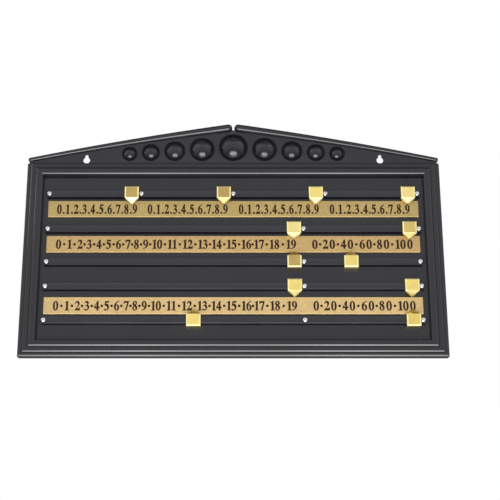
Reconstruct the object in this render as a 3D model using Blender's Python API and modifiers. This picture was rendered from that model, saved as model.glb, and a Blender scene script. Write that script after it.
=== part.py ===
"""A wall-hung billiard scoreboard, in metres.

+Z is up, the wall is the plane Y = 0, the front faces -Y and the middle of the board's height is Z = 0.
A depth is a distance in front of the wall, and a height is measured from the board's lower edge.
"""

import math

import bmesh
import bpy
from mathutils import Matrix, Vector

# Fits
SEAT_GAP = 0.0003
SLIDE_CLEARANCE = 0.0004
SCREW_CLEARANCE = 0.0003
STOP_GAP = 0.0003
OVERRUN = 0.004
WELD = 0.000001
CUT_WELD = 0.00002

# Board: the panel inside the border, and the gable above the border
PANEL_WIDTH = 0.635
PANEL_HEIGHT = 0.280
PANEL_DEPTH = 0.010
GABLE_RISE = 0.065
WALL = 0.0025

# Border, from the outer edge to the panel: outer band, ridge and inner bead, each a rise above the panel
BAND_WIDTH = 0.0068
RIDGE_WIDTH = 0.0092
BEAD_WIDTH = 0.0115
BAND_RISE = 0.0076
RIDGE_RISE = 0.0096
BEAD_RISE = 0.012
BAND_ROUND = 0.0021
RIDGE_ROUND = 0.0028
BEAD_ROUND = 0.0045
WALL_SLOPE = 0.0003
ROUND_POWER = 2.6
ROUND_STEPS = 10

# Gable: its two trims are thicker at the middle and bow up a little between their ends
PLATE_RISE = 0.003
GABLE_INSET = 0.0025
APEX_DROP = 0.010
TRIM_RADIUS_MIDDLE = 0.0066
TRIM_RADIUS_TIP = 0.0036
TRIM_MIDDLE_GAP = 0.0033
TRIM_TIP_LIFT = 0.0080
TRIM_BOW = 0.0027
TRIM_SPANS = 6
TRIM_STEPS = 10
TRIM_END_STEPS = 4

# Domes along the gable from the middle one outwards, as shares of the height between their foot and the trim
DOME_SHARES = (0.806, 0.817, 0.820, 0.837, 0.857)
DOME_SPACING = 0.0070
DOME_LIFT = 0.0058
DOME_RING = 0.0018
DOME_RING_DEPTH = 0.0011
DOME_BULGE_SHARE = 0.51
DOME_SIDES = 24
DOME_STEPS = 5
DOME_HOLLOW_STEPS = 3

# Keyholes
KEYHOLE_REACH_SHARE = 0.716
KEYHOLE_LIFT = 0.0072
KEYHOLE_RADIUS = 0.0056
KEYHOLE_SLOT_WIDTH = 0.0054
KEYHOLE_SLOT_TOP = 0.0100
KEYHOLE_STEPS = 16

# Number strips, from the top one down: each middle as a share of the panel's height
STRIP_PLACE_SHARES = (0.7929, 0.575, 0.2036)
STRIP_MARGIN = 0.00975
STRIP_WIDTH = 0.028
STRIP_THICKNESS = 0.0012
STRIP_BEVEL = 0.0003

# Rails: each stands above or below a strip, at a near or a far distance from the strip's middle
RAIL_NEAR = 0.0250
RAIL_FAR = 0.0314
RAIL_MARGIN = 0.0065
RAIL_WIDTH = 0.011
RAIL_HEIGHT = 0.0073
RAIL_LIP = 0.0030
RAIL_WEB = 0.0050
RAIL_CROWN = 0.0008
RAIL_STEPS = 4

# Screws, and where the middle one and two sliders stand as shares of the reach of the outer screws
SCREW_MARGIN = 0.0117
MIDDLE_STOP_SHARE = 0.3777
HUNDREDS_PARKED_SHARE = 0.63
SCORE_PARKED_SHARE = -0.2096
SCREW_HEAD_RADIUS = 0.00375
SCREW_HEAD_HEIGHT = 0.0023
SCREW_HEAD_RIM = 0.0007
SCREW_SHANK_RADIUS = 0.0015
SCREW_LENGTH = 0.014
SCREW_SIDES = 12
SCREW_DOME_STEPS = 3

# Stiffening at the board's back
BOSS_RADIUS = 0.004
BOSS_STANDOFF = 0.0015
BOSS_SIDES = 12
RIB = 0.0025
PAD_RADIUS = 0.010
PAD_SIDES = 24

# Sliders, measured from the rail's middle towards the point or away from it
SLIDER_WIDTH = 0.0233
SLIDER_BACK = 0.0110
SLIDER_SHOULDER = 0.0088
SLIDER_POINT = 0.0182
SLIDER_RISE = 0.0134
SLIDER_FOOT = 0.0008
SLIDER_CHAMFER = 0.0020
SLIDER_POINT_FOOT = 0.0010
SLIDER_POINT_THICKNESS = 0.0009

# Materials, each with its colour, roughness and how metallic it is
BLACK_PLASTIC = ((0.012, 0.012, 0.014), 0.18, 0)
RAIL_BLACK = ((0.014, 0.014, 0.016), 0.32, 0)
BRUSHED_BRASS = ((0.52, 0.36, 0.15), 0.38, 0.7)
GOLD_PLASTIC = ((0.80, 0.58, 0.20), 0.25, 0.7)
BRIGHT_STEEL = ((0.72, 0.72, 0.72), 0.22, 1)
SMOOTHING_DEGREES = 30

# Places worked out from the sizes above
BORDER_WIDTH = BAND_WIDTH + RIDGE_WIDTH + BEAD_WIDTH
HALF_WIDTH = PANEL_WIDTH / 2 + BORDER_WIDTH
PANEL_TOP = BORDER_WIDTH + PANEL_HEIGHT
BORDER_TOP = PANEL_TOP + BORDER_WIDTH
BOARD_HEIGHT = BORDER_TOP + GABLE_RISE
GABLE_FOOT = BORDER_TOP - BAND_WIDTH
DOME_FOOT = GABLE_FOOT + DOME_LIFT
PLATE_DEPTH = PANEL_DEPTH + PLATE_RISE
TRIM_TIP = (HALF_WIDTH - TRIM_RADIUS_TIP, GABLE_FOOT + TRIM_TIP_LIFT)
TRIM_END = (TRIM_MIDDLE_GAP / 2 + TRIM_RADIUS_MIDDLE, BOARD_HEIGHT - TRIM_RADIUS_MIDDLE)
TRIM_SLOPE = (TRIM_END[1] - TRIM_TIP[1]) / (TRIM_TIP[0] - TRIM_END[0])
KEYHOLE_REACH = HALF_WIDTH * KEYHOLE_REACH_SHARE
STRIP_HEIGHTS = tuple(BORDER_WIDTH + PANEL_HEIGHT * share for share in STRIP_PLACE_SHARES)
STRIP_LENGTH = PANEL_WIDTH - 2 * STRIP_MARGIN
RAIL_LENGTH = PANEL_WIDTH - 2 * RAIL_MARGIN
SCREW_REACH = PANEL_WIDTH / 2 - SCREW_MARGIN
STRIP_DEPTH = PANEL_DEPTH + SEAT_GAP + STRIP_THICKNESS
RAIL_FOOT = PANEL_DEPTH + SEAT_GAP
RAIL_DEPTH = RAIL_FOOT + RAIL_HEIGHT
HEAD_FOOT = RAIL_DEPTH + SEAT_GAP
STOP_OFFSET = SLIDER_WIDTH / 2 + SCREW_HEAD_RADIUS + STOP_GAP

# Each rail has its height, the screws along it, its sliders' places and the way they point
TOP_STOPS = (-SCREW_REACH, -SCREW_REACH / 2, 0, SCREW_REACH / 2, SCREW_REACH)
LOWER_STOPS = (-SCREW_REACH, SCREW_REACH * MIDDLE_STOP_SHARE, SCREW_REACH)
HUNDREDS_PARKED_AT = SCREW_REACH * HUNDREDS_PARKED_SHARE
SCORE_PARKED_AT = SCREW_REACH * SCORE_PARKED_SHARE
DOWN = -1
UP = 1


def parked(stops):
    """Where sliders rest when each is pushed right, up to the screw at the end of its stretch."""
    return tuple(stop - STOP_OFFSET for stop in stops[1:])


RAILS = (
    (STRIP_HEIGHTS[0] + RAIL_NEAR, TOP_STOPS, parked(TOP_STOPS), DOWN),
    (STRIP_HEIGHTS[1] + RAIL_NEAR, LOWER_STOPS, parked(LOWER_STOPS), DOWN),
    (STRIP_HEIGHTS[1] - RAIL_FAR, LOWER_STOPS, (parked(LOWER_STOPS)[0], HUNDREDS_PARKED_AT), UP),
    (STRIP_HEIGHTS[2] + RAIL_FAR, LOWER_STOPS, parked(LOWER_STOPS), DOWN),
    (STRIP_HEIGHTS[2] - RAIL_NEAR, LOWER_STOPS, (SCORE_PARKED_AT, parked(LOWER_STOPS)[1]), UP),
)


def world_point(across, depth, height):
    return Vector((across, -depth, height - BOARD_HEIGHT / 2))


def facing_front(across, depth, height):
    """A placement whose local X runs across the board, local Y up and local Z out of the wall."""
    turn = Matrix(((1, 0, 0, 0), (0, 0, -1, 0), (0, 1, 0, 0), (0, 0, 0, 1)))
    return Matrix.Translation(world_point(across, depth, height)) @ turn


def along_board(depth, height):
    """A placement whose local X is depth, local Y is up and local Z runs across the board."""
    turn = Matrix(((0, 0, -1, 0), (-1, 0, 0, 0), (0, 1, 0, 0), (0, 0, 0, 1)))
    return Matrix.Translation(world_point(0, depth, height)) @ turn


def clear_scene():
    for existing in list(bpy.data.objects):
        bpy.data.objects.remove(existing, do_unlink=True)


def new_collection(name):
    collection = bpy.data.collections.new(name)
    bpy.context.scene.collection.children.link(collection)
    return collection


def new_material(name, look):
    colour, roughness, metallic = look
    material = bpy.data.materials.new(name)
    material.use_nodes = True
    shader = material.node_tree.nodes["Principled BSDF"]
    shader.inputs["Base Color"].default_value = (*colour, 1)
    shader.inputs["Roughness"].default_value = roughness
    shader.inputs["Metallic"].default_value = metallic
    return material


def placed(name, mesh, collection, material=None):
    """An object in this collection; one without a material is a tool that only shapes the others."""
    piece = bpy.data.objects.new(name, mesh)
    collection.objects.link(piece)
    if material:
        if not mesh.materials:
            mesh.materials.append(material)
    else:
        piece.hide_render = True
        piece.display_type = "WIRE"
    return piece


def finished_mesh(name, bm):
    bmesh.ops.remove_doubles(bm, verts=bm.verts, dist=WELD)
    bmesh.ops.recalc_face_normals(bm, faces=bm.faces)
    mesh = bpy.data.meshes.new(name)
    bm.to_mesh(mesh)
    bm.free()
    mesh.shade_smooth()
    mesh.set_sharp_from_angle(angle=math.radians(SMOOTHING_DEGREES))
    return mesh


def evaluated_mesh(name, holder):
    """The mesh that an object's curve or modifiers give, welded; the object itself is removed."""
    bpy.context.view_layer.update()
    source = holder.evaluated_get(bpy.context.evaluated_depsgraph_get())
    raw = bpy.data.meshes.new_from_object(source)
    raw.transform(holder.matrix_world)
    bpy.data.objects.remove(holder, do_unlink=True)
    bm = bmesh.new()
    bm.from_mesh(raw)
    return finished_mesh(name, bm)


def joined_mesh(name, meshes):
    """Several separate closed shapes in one mesh."""
    bm = bmesh.new()
    for mesh in meshes:
        bm.from_mesh(mesh)
    return finished_mesh(name, bm)


def outline_mesh(name, outline, thickness, placement):
    """A flat outline given thickness, centred on the placement's local XY plane."""
    curve = bpy.data.curves.new(name, "CURVE")
    curve.dimensions = "2D"
    curve.fill_mode = "BOTH"
    curve.extrude = thickness / 2
    spline = curve.splines.new("POLY")
    spline.points.add(len(outline) - 1)
    for point, (x, y) in zip(spline.points, outline):
        point.co = (x, y, 0, 1)
    spline.use_cyclic_u = True
    holder = bpy.data.objects.new(name, curve)
    bpy.context.scene.collection.objects.link(holder)
    holder.matrix_world = placement
    return evaluated_mesh(name, holder)


def box_mesh(name, low, high):
    outline = [(low.x, low.z), (high.x, low.z), (high.x, high.z), (low.x, high.z)]
    placement = facing_front(0, -(low.y + high.y) / 2, BOARD_HEIGHT / 2)
    return outline_mesh(name, outline, abs(high.y - low.y), placement)


def turned_mesh(name, profile, sides, placement):
    """A profile of radius and height turned about the placement's local Z."""
    bm = bmesh.new()
    verts = [bm.verts.new((radius, 0, height)) for radius, height in profile]
    for upper, lower in zip(verts, verts[1:]):
        bm.edges.new((upper, lower))
    line = bpy.data.meshes.new(name)
    bm.to_mesh(line)
    bm.free()
    holder = bpy.data.objects.new(name, line)
    bpy.context.scene.collection.objects.link(holder)
    holder.matrix_world = placement
    screw = holder.modifiers.new("turn", "SCREW")
    screw.axis = "Z"
    screw.steps = sides
    screw.render_steps = sides
    screw.use_merge_vertices = True
    screw.merge_threshold = WELD
    return evaluated_mesh(name, holder)


def cylinder_mesh(name, radius, sides, across, height, depth_back, depth_front):
    bm = bmesh.new()
    middle = (depth_back + depth_front) / 2
    bmesh.ops.create_cone(
        bm, cap_ends=True, segments=sides, radius1=radius, radius2=radius,
        depth=depth_front - depth_back, matrix=facing_front(across, middle, height),
    )
    return finished_mesh(name, bm)


def lofted_mesh(name, sections, is_ring):
    """A closed solid through sections of equally many points, as a ring or as a bar with flat ends."""
    bm = bmesh.new()
    rows = [[bm.verts.new(point) for point in section] for section in sections]
    pairs = list(zip(rows, rows[1:]))
    if is_ring:
        pairs.append((rows[-1], rows[0]))
    else:
        bm.faces.new(rows[0])
        bm.faces.new(rows[-1])
    for here, there in pairs:
        for first in range(len(here)):
            second = (first + 1) % len(here)
            bm.faces.new((here[first], here[second], there[second], there[first]))
    return finished_mesh(name, bm)


def combine(target, operation, tool):
    modifier = target.modifiers.new(tool.name, "BOOLEAN")
    modifier.operation = operation
    modifier.solver = "EXACT"
    modifier.object = tool
    weld = target.modifiers.new(tool.name + "_weld", "WELD")
    weld.merge_threshold = CUT_WELD


def bulge(start, width, base, rise):
    """Points over a bead with full shoulders, from its outer foot to its inner foot."""
    points = []
    for step in range(ROUND_STEPS + 1):
        angle = math.pi * step / ROUND_STEPS
        sideways = math.copysign(abs(math.cos(angle)) ** (2 / ROUND_POWER), -math.cos(angle))
        upwards = math.sin(angle) ** (2 / ROUND_POWER) if 0 < step < ROUND_STEPS else 0
        points.append((start + width / 2 * (1 + sideways), base + rise * upwards))
    return points


def border_section():
    """The ridge and inner bead, as inset from the outer edge and depth, closed behind the wall plane."""
    ridge = bulge(BAND_WIDTH, RIDGE_WIDTH, PANEL_DEPTH + RIDGE_RISE - RIDGE_ROUND, RIDGE_ROUND)
    bead_start = BAND_WIDTH + RIDGE_WIDTH
    bead = bulge(bead_start, BEAD_WIDTH - WALL_SLOPE, PANEL_DEPTH + BEAD_RISE - BEAD_ROUND, BEAD_ROUND)
    foot = [(BORDER_WIDTH, PANEL_DEPTH - WALL / 2), (BORDER_WIDTH, -OVERRUN)]
    return [(BAND_WIDTH, -OVERRUN)] + ridge + bead + foot


def band_section():
    """The outer band, which runs on under the ridge so that the two are one wall."""
    base = PANEL_DEPTH + BAND_RISE - BAND_ROUND
    crossing = BAND_WIDTH + WALL
    inner = [(crossing, base - WALL / 2), (crossing, -OVERRUN / 2)]
    return [(0, -OVERRUN / 2)] + bulge(0, BAND_WIDTH + WALL_SLOPE, base, BAND_ROUND) + inner


def mitred_ring(name, section):
    """A border section carried round the four mitred corners."""
    corners = []
    for side, is_top in ((-1, True), (-1, False), (1, False), (1, True)):
        corner = []
        for inset, depth in section:
            height = BORDER_TOP - inset if is_top else inset
            corner.append(world_point(side * (HALF_WIDTH - inset), depth, height))
        corners.append(corner)
    return lofted_mesh(name, corners, is_ring=True)


def mitred_u(name, section, arm_top):
    """A border section down the left side, along the bottom and up the right side."""
    stations = []
    for side, is_end in ((-1, True), (-1, False), (1, False), (1, True)):
        station = []
        for inset, depth in section:
            station.append(world_point(side * (HALF_WIDTH - inset), depth, arm_top if is_end else inset))
        stations.append(station)
    return lofted_mesh(name, stations, is_ring=False)


def trim_line():
    """The axis of the right trim from its tip to its end, as place across, height and radius."""
    stations = []
    for step in range(TRIM_SPANS + 1):
        share = step / TRIM_SPANS
        across = TRIM_TIP[0] + (TRIM_END[0] - TRIM_TIP[0]) * share
        height = TRIM_TIP[1] + (TRIM_END[1] - TRIM_TIP[1]) * share + TRIM_BOW * 4 * share * (1 - share)
        radius = TRIM_RADIUS_TIP + (TRIM_RADIUS_MIDDLE - TRIM_RADIUS_TIP) * share
        stations.append((across, height, radius))
    return stations


def rounded_end(centre, outward, radius):
    """Stations over a trim's ball end, from the full radius to its very tip."""
    stations = []
    for step in range(1, TRIM_END_STEPS + 1):
        turn = math.pi / 2 * step / TRIM_END_STEPS
        stations.append((centre + outward * radius * math.sin(turn), radius * math.cos(turn)))
    return stations


def gable_trim(name, side, inward):
    """A half-round trim that thickens towards the middle, with round ends, offset inward by a wall."""
    stations = [(world_point(side * across, 0, height), radius) for across, height, radius in trim_line()]
    tip_centre, tip_radius = stations[0]
    end_centre, end_radius = stations[-1]
    tip_way = (tip_centre - stations[1][0]).normalized()
    end_way = (end_centre - stations[-2][0]).normalized()
    tip_stations = rounded_end(tip_centre, tip_way, tip_radius)
    tip_stations.reverse()
    stations = tip_stations + stations + rounded_end(end_centre, end_way, end_radius)
    if inward:
        stations = [(centre, radius - inward) for centre, radius in stations if radius > inward + SEAT_GAP]
    front = Vector((0, -1, 0))
    sections = []
    for index, (centre, radius) in enumerate(stations):
        before = stations[max(index - 1, 0)][0]
        after = stations[min(index + 1, len(stations) - 1)][0]
        along = (after - before).normalized()
        across = Vector((-along.z, 0, along.x))
        section = []
        for step in range(TRIM_STEPS + 1):
            turn = math.pi * step / TRIM_STEPS
            rise = PLATE_DEPTH + radius * math.sin(turn)
            section.append(centre + across * radius * math.cos(turn) + front * rise)
        section.append(centre - across * radius - front * OVERRUN * 2 / 3)
        section.append(centre + across * radius - front * OVERRUN * 2 / 3)
        sections.append(section)
    return lofted_mesh(name, sections, is_ring=False)


def gable_outline(inward):
    """The gable plate across and in height, or the hollow behind it when offset inward by a wall."""
    half = HALF_WIDTH - GABLE_INSET - inward
    foot = GABLE_FOOT - WALL - (WALL / 2 if inward else 0)
    under_trim = [(across, height - radius / 2 - inward) for across, height, radius in trim_line()[1:-1]]
    shoulder = [(half, TRIM_TIP[1] - TRIM_RADIUS_TIP / 2 - inward)]
    apex = [(TRIM_END[0], BOARD_HEIGHT - APEX_DROP - inward)]
    right = [(half, foot)] + shoulder + under_trim + apex
    left = [(-across, height) for across, height in reversed(right)]
    return right + left


def dome_places():
    """Each dome's place across, its middle height and its diameter over the ring."""
    room_at_middle = TRIM_END[1] + TRIM_SLOPE * TRIM_END[0] - DOME_FOOT
    places = []
    across = 0
    edge = 0
    for index, share in enumerate(DOME_SHARES):
        if index:
            start = edge + DOME_SPACING
            across = (start + share * room_at_middle / 2) / (1 + share * TRIM_SLOPE / 2)
        diameter = share * (room_at_middle - TRIM_SLOPE * across)
        edge = across + diameter / 2
        for side in (-1, 1) if index else (1,):
            places.append((side * across, DOME_FOOT + diameter / 2, diameter))
    return places


def dome_profile(diameter, inward):
    """A ball cap on a short foot in the plate, as radius and depth, or the hollow behind it when offset."""
    radius = diameter / 2 - DOME_RING
    rise = radius * DOME_BULGE_SHARE
    ball = (radius ** 2 + rise ** 2) / (2 * rise)
    widest = math.asin(radius / ball)
    centre = PLATE_DEPTH - DOME_RING_DEPTH / 2 + rise - ball
    steps = DOME_HOLLOW_STEPS if inward else DOME_STEPS
    profile = []
    for step in range(steps + 1):
        turn = widest * step / steps
        profile.append(((ball - inward) * math.sin(turn), centre + (ball - inward) * math.cos(turn)))
    foot = PLATE_DEPTH - WALL - (OVERRUN if inward else -DOME_RING_DEPTH / 2)
    return profile + [(profile[-1][0], foot), (0, foot)]


def keyhole_outline(side):
    """A round hole with a slot above it, across and in height."""
    half_slot = KEYHOLE_SLOT_WIDTH / 2
    meet = math.asin(half_slot / KEYHOLE_RADIUS)
    middle = GABLE_FOOT + KEYHOLE_LIFT
    points = []
    for step in range(KEYHOLE_STEPS + 1):
        turn = math.pi / 2 + meet + (2 * math.pi - 2 * meet) * step / KEYHOLE_STEPS
        points.append((KEYHOLE_RADIUS * math.cos(turn), KEYHOLE_RADIUS * math.sin(turn)))
    for step in range(KEYHOLE_STEPS // 2 + 1):
        turn = math.pi * step / (KEYHOLE_STEPS // 2)
        points.append((half_slot * math.cos(turn), KEYHOLE_SLOT_TOP - half_slot + half_slot * math.sin(turn)))
    return [(side * KEYHOLE_REACH + x, middle + y) for x, y in points]


def screw_places():
    return [(stop, height) for height, stops, _, _ in RAILS for stop in stops]


def panel_cells():
    """The hollows behind the panel, between ribs that run behind each rail and up the middle."""
    heights = sorted(height for height, _, _, _ in RAILS)
    lows = [BORDER_WIDTH] + [height + RIB / 2 for height in heights]
    highs = [height - RIB / 2 for height in heights] + [PANEL_TOP]
    cells = []
    for low, high in zip(lows, highs):
        for side in (-1, 1):
            inner = world_point(side * RIB / 2, -OVERRUN, low)
            outer = world_point(side * PANEL_WIDTH / 2, PANEL_DEPTH - WALL, high)
            cells.append(box_mesh("cell", inner, outer))
    return cells


def border_hollow():
    """The hollow behind the ridge and the inner bead, a wall's thickness inside them."""
    start = BAND_WIDTH + WALL
    step = BAND_WIDTH + RIDGE_WIDTH
    low = PANEL_DEPTH + RIDGE_RISE - RIDGE_ROUND - WALL
    high = PANEL_DEPTH + BEAD_RISE - WALL
    inner = BORDER_WIDTH - WALL
    return [(start, -OVERRUN), (start, low), (step, low), (step + WALL, high), (inner, high),
            (inner, -OVERRUN)]


def band_hollow():
    low = PANEL_DEPTH + BAND_RISE - BAND_ROUND - WALL
    inner = BAND_WIDTH + WALL + WALL / 2
    return [(WALL, -OVERRUN), (WALL, low), (inner, low), (inner, -OVERRUN)]


def build_board(parts, tools, material):
    board = placed("board_moulding", mitred_ring("board_moulding", border_section()), parts, material)

    def tool(name, mesh):
        return placed(name, mesh, tools)

    arm_top = GABLE_FOOT - SEAT_GAP
    half_panel = PANEL_WIDTH / 2 + WALL / 2
    slab_low = world_point(-half_panel, -OVERRUN / 3, BORDER_WIDTH - WALL / 2)
    slab_high = world_point(half_panel, PANEL_DEPTH, PANEL_TOP + WALL / 2)
    block_thickness = PLATE_DEPTH + OVERRUN / 4
    plate_middle = facing_front(0, PLATE_DEPTH - block_thickness / 2, 0)
    hollow_middle = facing_front(0, PLATE_DEPTH - WALL - block_thickness / 2, 0)
    keyhole_middle = facing_front(0, PLATE_DEPTH - WALL / 2, 0)

    combine(board, "UNION", tool("outer_band", mitred_u("outer_band", band_section(), arm_top)))
    combine(board, "UNION", tool("panel_slab", box_mesh("panel_slab", slab_low, slab_high)))
    gable = outline_mesh("gable_block", gable_outline(0), block_thickness, plate_middle)
    combine(board, "UNION", tool("gable_block", gable))
    trims = joined_mesh("gable_trims", [gable_trim("trim", side, 0) for side in (-1, 1)])
    combine(board, "UNION", tool("gable_trims", trims))

    rings = []
    caps = []
    hollows = []
    ring_floor = PLATE_DEPTH - DOME_RING_DEPTH
    ring_front = PLATE_DEPTH + OVERRUN
    for across, height, diameter in dome_places():
        middle = facing_front(across, 0, height)
        rings.append(cylinder_mesh("ring", diameter / 2, DOME_SIDES, across, height, ring_floor, ring_front))
        caps.append(turned_mesh("cap", dome_profile(diameter, 0), DOME_SIDES, middle))
        hollows.append(turned_mesh("hollow", dome_profile(diameter, WALL), DOME_SIDES, middle))
    combine(board, "DIFFERENCE", tool("dome_rings", joined_mesh("dome_rings", rings)))
    combine(board, "UNION", tool("dome_caps", joined_mesh("dome_caps", caps)))
    behind_low = world_point(-HALF_WIDTH - OVERRUN, 0, -OVERRUN)
    behind_high = world_point(HALF_WIDTH + OVERRUN, -OVERRUN - OVERRUN, BOARD_HEIGHT + OVERRUN)
    combine(board, "DIFFERENCE", tool("behind_wall", box_mesh("behind_wall", behind_low, behind_high)))

    combine(board, "DIFFERENCE", tool("border_hollow", mitred_ring("border_hollow", border_hollow())))
    band_cut = mitred_u("band_hollow", band_hollow(), GABLE_FOOT - WALL)
    combine(board, "DIFFERENCE", tool("band_hollow", band_cut))
    plate_cut = outline_mesh("gable_hollow", gable_outline(WALL), block_thickness, hollow_middle)
    combine(board, "DIFFERENCE", tool("gable_hollow", plate_cut))
    trim_cut = joined_mesh("trim_hollows", [gable_trim("trim_hollow", side, WALL) for side in (-1, 1)])
    combine(board, "DIFFERENCE", tool("trim_hollows", trim_cut))
    combine(board, "DIFFERENCE", tool("dome_hollows", joined_mesh("dome_hollows", hollows)))
    combine(board, "DIFFERENCE", tool("panel_cells", joined_mesh("panel_cells", panel_cells())))

    boss_front = PANEL_DEPTH - WALL / 2
    bosses = [cylinder_mesh("boss", BOSS_RADIUS, BOSS_SIDES, across, height, BOSS_STANDOFF, boss_front)
              for across, height in screw_places()]
    combine(board, "UNION", tool("screw_bosses", joined_mesh("screw_bosses", bosses)))
    pad = cylinder_mesh("wall_pad", PAD_RADIUS, PAD_SIDES, 0, BOARD_HEIGHT / 2, 0, boss_front)
    combine(board, "UNION", tool("wall_pad", pad))
    hole_end = HEAD_FOOT - SCREW_LENGTH - SCREW_CLEARANCE
    hole_radius = SCREW_SHANK_RADIUS + SCREW_CLEARANCE
    holes = [cylinder_mesh("hole", hole_radius, SCREW_SIDES, across, height, hole_end, PANEL_DEPTH + OVERRUN)
             for across, height in screw_places()]
    combine(board, "DIFFERENCE", tool("screw_holes", joined_mesh("screw_holes", holes)))
    keyholes = [outline_mesh("keyhole", keyhole_outline(side), block_thickness, keyhole_middle)
                for side in (-1, 1)]
    combine(board, "DIFFERENCE", tool("keyholes", joined_mesh("keyholes", keyholes)))


def rail_section():
    """A T in depth and height about the rail's middle, with a crowned front."""
    half = RAIL_WIDTH / 2
    edge = RAIL_DEPTH - RAIL_CROWN
    lip = RAIL_DEPTH - RAIL_LIP
    ball = (half ** 2 + RAIL_CROWN ** 2) / (2 * RAIL_CROWN)
    widest = math.asin(half / ball)
    front = []
    for step in range(RAIL_STEPS + 1):
        turn = widest * (1 - 2 * step / RAIL_STEPS)
        front.append((edge + RAIL_CROWN - ball + ball * math.cos(turn), ball * math.sin(turn)))
    return front + [(lip, -half), (lip, -RAIL_WEB / 2), (RAIL_FOOT, -RAIL_WEB / 2), (RAIL_FOOT, RAIL_WEB / 2),
                    (lip, RAIL_WEB / 2), (lip, half)]


def build_rails(parts, tools, material):
    hole_radius = SCREW_SHANK_RADIUS + SCREW_CLEARANCE
    hole_back = RAIL_FOOT - OVERRUN
    hole_front = RAIL_DEPTH + OVERRUN
    for number, (height, stops, _, _) in enumerate(RAILS, start=1):
        mesh = outline_mesh("rail", rail_section(), RAIL_LENGTH, along_board(0, height))
        rail = placed(f"rail_{number}", mesh, parts, material)
        holes = [cylinder_mesh("hole", hole_radius, SCREW_SIDES, stop, height, hole_back, hole_front)
                 for stop in stops]
        combine(rail, "DIFFERENCE", placed(f"rail_{number}_holes", joined_mesh("rail_holes", holes), tools))


def build_strips(parts, material):
    for number, height in enumerate(STRIP_HEIGHTS, start=1):
        low = world_point(-STRIP_LENGTH / 2, RAIL_FOOT, height - STRIP_WIDTH / 2)
        high = world_point(STRIP_LENGTH / 2, STRIP_DEPTH, height + STRIP_WIDTH / 2)
        strip = placed(f"number_strip_{number}", box_mesh("number_strip", low, high), parts, material)
        edge = strip.modifiers.new("edge", "BEVEL")
        edge.width = STRIP_BEVEL
        edge.segments = 1


def screw_mesh():
    """A round-head screw with its seat at the origin and its head towards local Z."""
    dome = SCREW_HEAD_HEIGHT - SCREW_HEAD_RIM
    profile = []
    for step in range(SCREW_DOME_STEPS + 1):
        turn = math.pi / 2 * step / SCREW_DOME_STEPS
        profile.append((SCREW_HEAD_RADIUS * math.sin(turn), SCREW_HEAD_RIM + dome * math.cos(turn)))
    taper_start = SCREW_SHANK_RADIUS - SCREW_LENGTH
    shank = [(SCREW_SHANK_RADIUS, 0), (SCREW_SHANK_RADIUS, taper_start), (0, -SCREW_LENGTH)]
    profile += [(SCREW_HEAD_RADIUS, 0)] + shank
    return turned_mesh("screw", profile, SCREW_SIDES, Matrix())


def build_screws(parts, material):
    mesh = screw_mesh()
    for number, (height, stops, _, _) in enumerate(RAILS, start=1):
        for index, stop in enumerate(stops, start=1):
            screw = placed(f"screw_{number}_{index}", mesh, parts, material)
            screw.matrix_world = facing_front(stop, HEAD_FOOT, height)


def house_section(inset, depth):
    """The slider's outline at a depth, with every edge drawn in by the inset."""
    half = SLIDER_WIDTH / 2 - inset
    slope = (SLIDER_POINT - SLIDER_SHOULDER) / (SLIDER_WIDTH / 2)
    point = SLIDER_POINT - inset * math.sqrt(1 + slope ** 2)
    shoulder = point - slope * half
    back = inset - SLIDER_BACK
    outline = [(-half, back), (half, back), (half, shoulder), (0, point), (-half, shoulder)]
    return [Vector((x, -depth, z)) for x, z in outline]


def slider_mesh(tools):
    """A pointed clip about its rail's middle on the wall plane, pointing up."""
    foot = PANEL_DEPTH + SLIDER_FOOT
    front = PANEL_DEPTH + SLIDER_RISE
    sections = [house_section(0, foot), house_section(0, front - SLIDER_CHAMFER),
                house_section(SLIDER_CHAMFER, front)]
    blank = placed("slider_blank", lofted_mesh("slider_blank", sections, is_ring=False), tools)

    point_foot = STRIP_DEPTH + SLIDER_POINT_FOOT
    point_front = point_foot + SLIDER_POINT_THICKNESS
    fall = (front - point_front) / (SLIDER_POINT - SLIDER_SHOULDER)
    beyond = SLIDER_POINT + OVERRUN
    slope = [(front, SLIDER_SHOULDER), (point_front - fall * OVERRUN, beyond), (front + OVERRUN, beyond),
             (front + OVERRUN, SLIDER_SHOULDER - OVERRUN / fall)]
    behind = foot - OVERRUN
    under = [(behind, SLIDER_SHOULDER), (point_foot, SLIDER_SHOULDER), (point_foot, beyond), (behind, beyond)]
    half_channel = RAIL_WIDTH / 2 + SLIDE_CLEARANCE
    half_mouth = RAIL_WEB / 2 + SLIDE_CLEARANCE
    lip = RAIL_DEPTH - RAIL_LIP - SLIDE_CLEARANCE
    deep = RAIL_DEPTH + SLIDE_CLEARANCE
    channel = [(deep, -half_channel), (deep, half_channel), (lip, half_channel), (lip, half_mouth),
               (behind, half_mouth), (behind, -half_mouth), (lip, -half_mouth), (lip, -half_channel)]
    for name, section in (("slider_slope", slope), ("slider_under", under), ("slider_channel", channel)):
        mesh = outline_mesh(name, section, SLIDER_WIDTH + OVERRUN, along_board(0, BOARD_HEIGHT / 2))
        combine(blank, "DIFFERENCE", placed(name, mesh, tools))
    return evaluated_mesh("slider", blank)


def build_sliders(parts, tools, material):
    mesh = slider_mesh(tools)
    for number, (height, _, places, points) in enumerate(RAILS, start=1):
        for index, across in enumerate(places, start=1):
            slider = placed(f"slider_{number}_{index}", mesh, parts, material)
            slider.location = world_point(across, 0, height)
            if points == DOWN:
                slider.rotation_euler = (0, math.pi, 0)


def build():
    clear_scene()
    parts = new_collection("billiard_scoreboard")
    tools = new_collection("cutters")
    build_strips(parts, new_material("brushed_brass", BRUSHED_BRASS))
    build_screws(parts, new_material("bright_steel", BRIGHT_STEEL))
    build_sliders(parts, tools, new_material("gold_plastic", GOLD_PLASTIC))
    build_rails(parts, tools, new_material("rail_black", RAIL_BLACK))
    build_board(parts, tools, new_material("black_plastic", BLACK_PLASTIC))


build()
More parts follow.
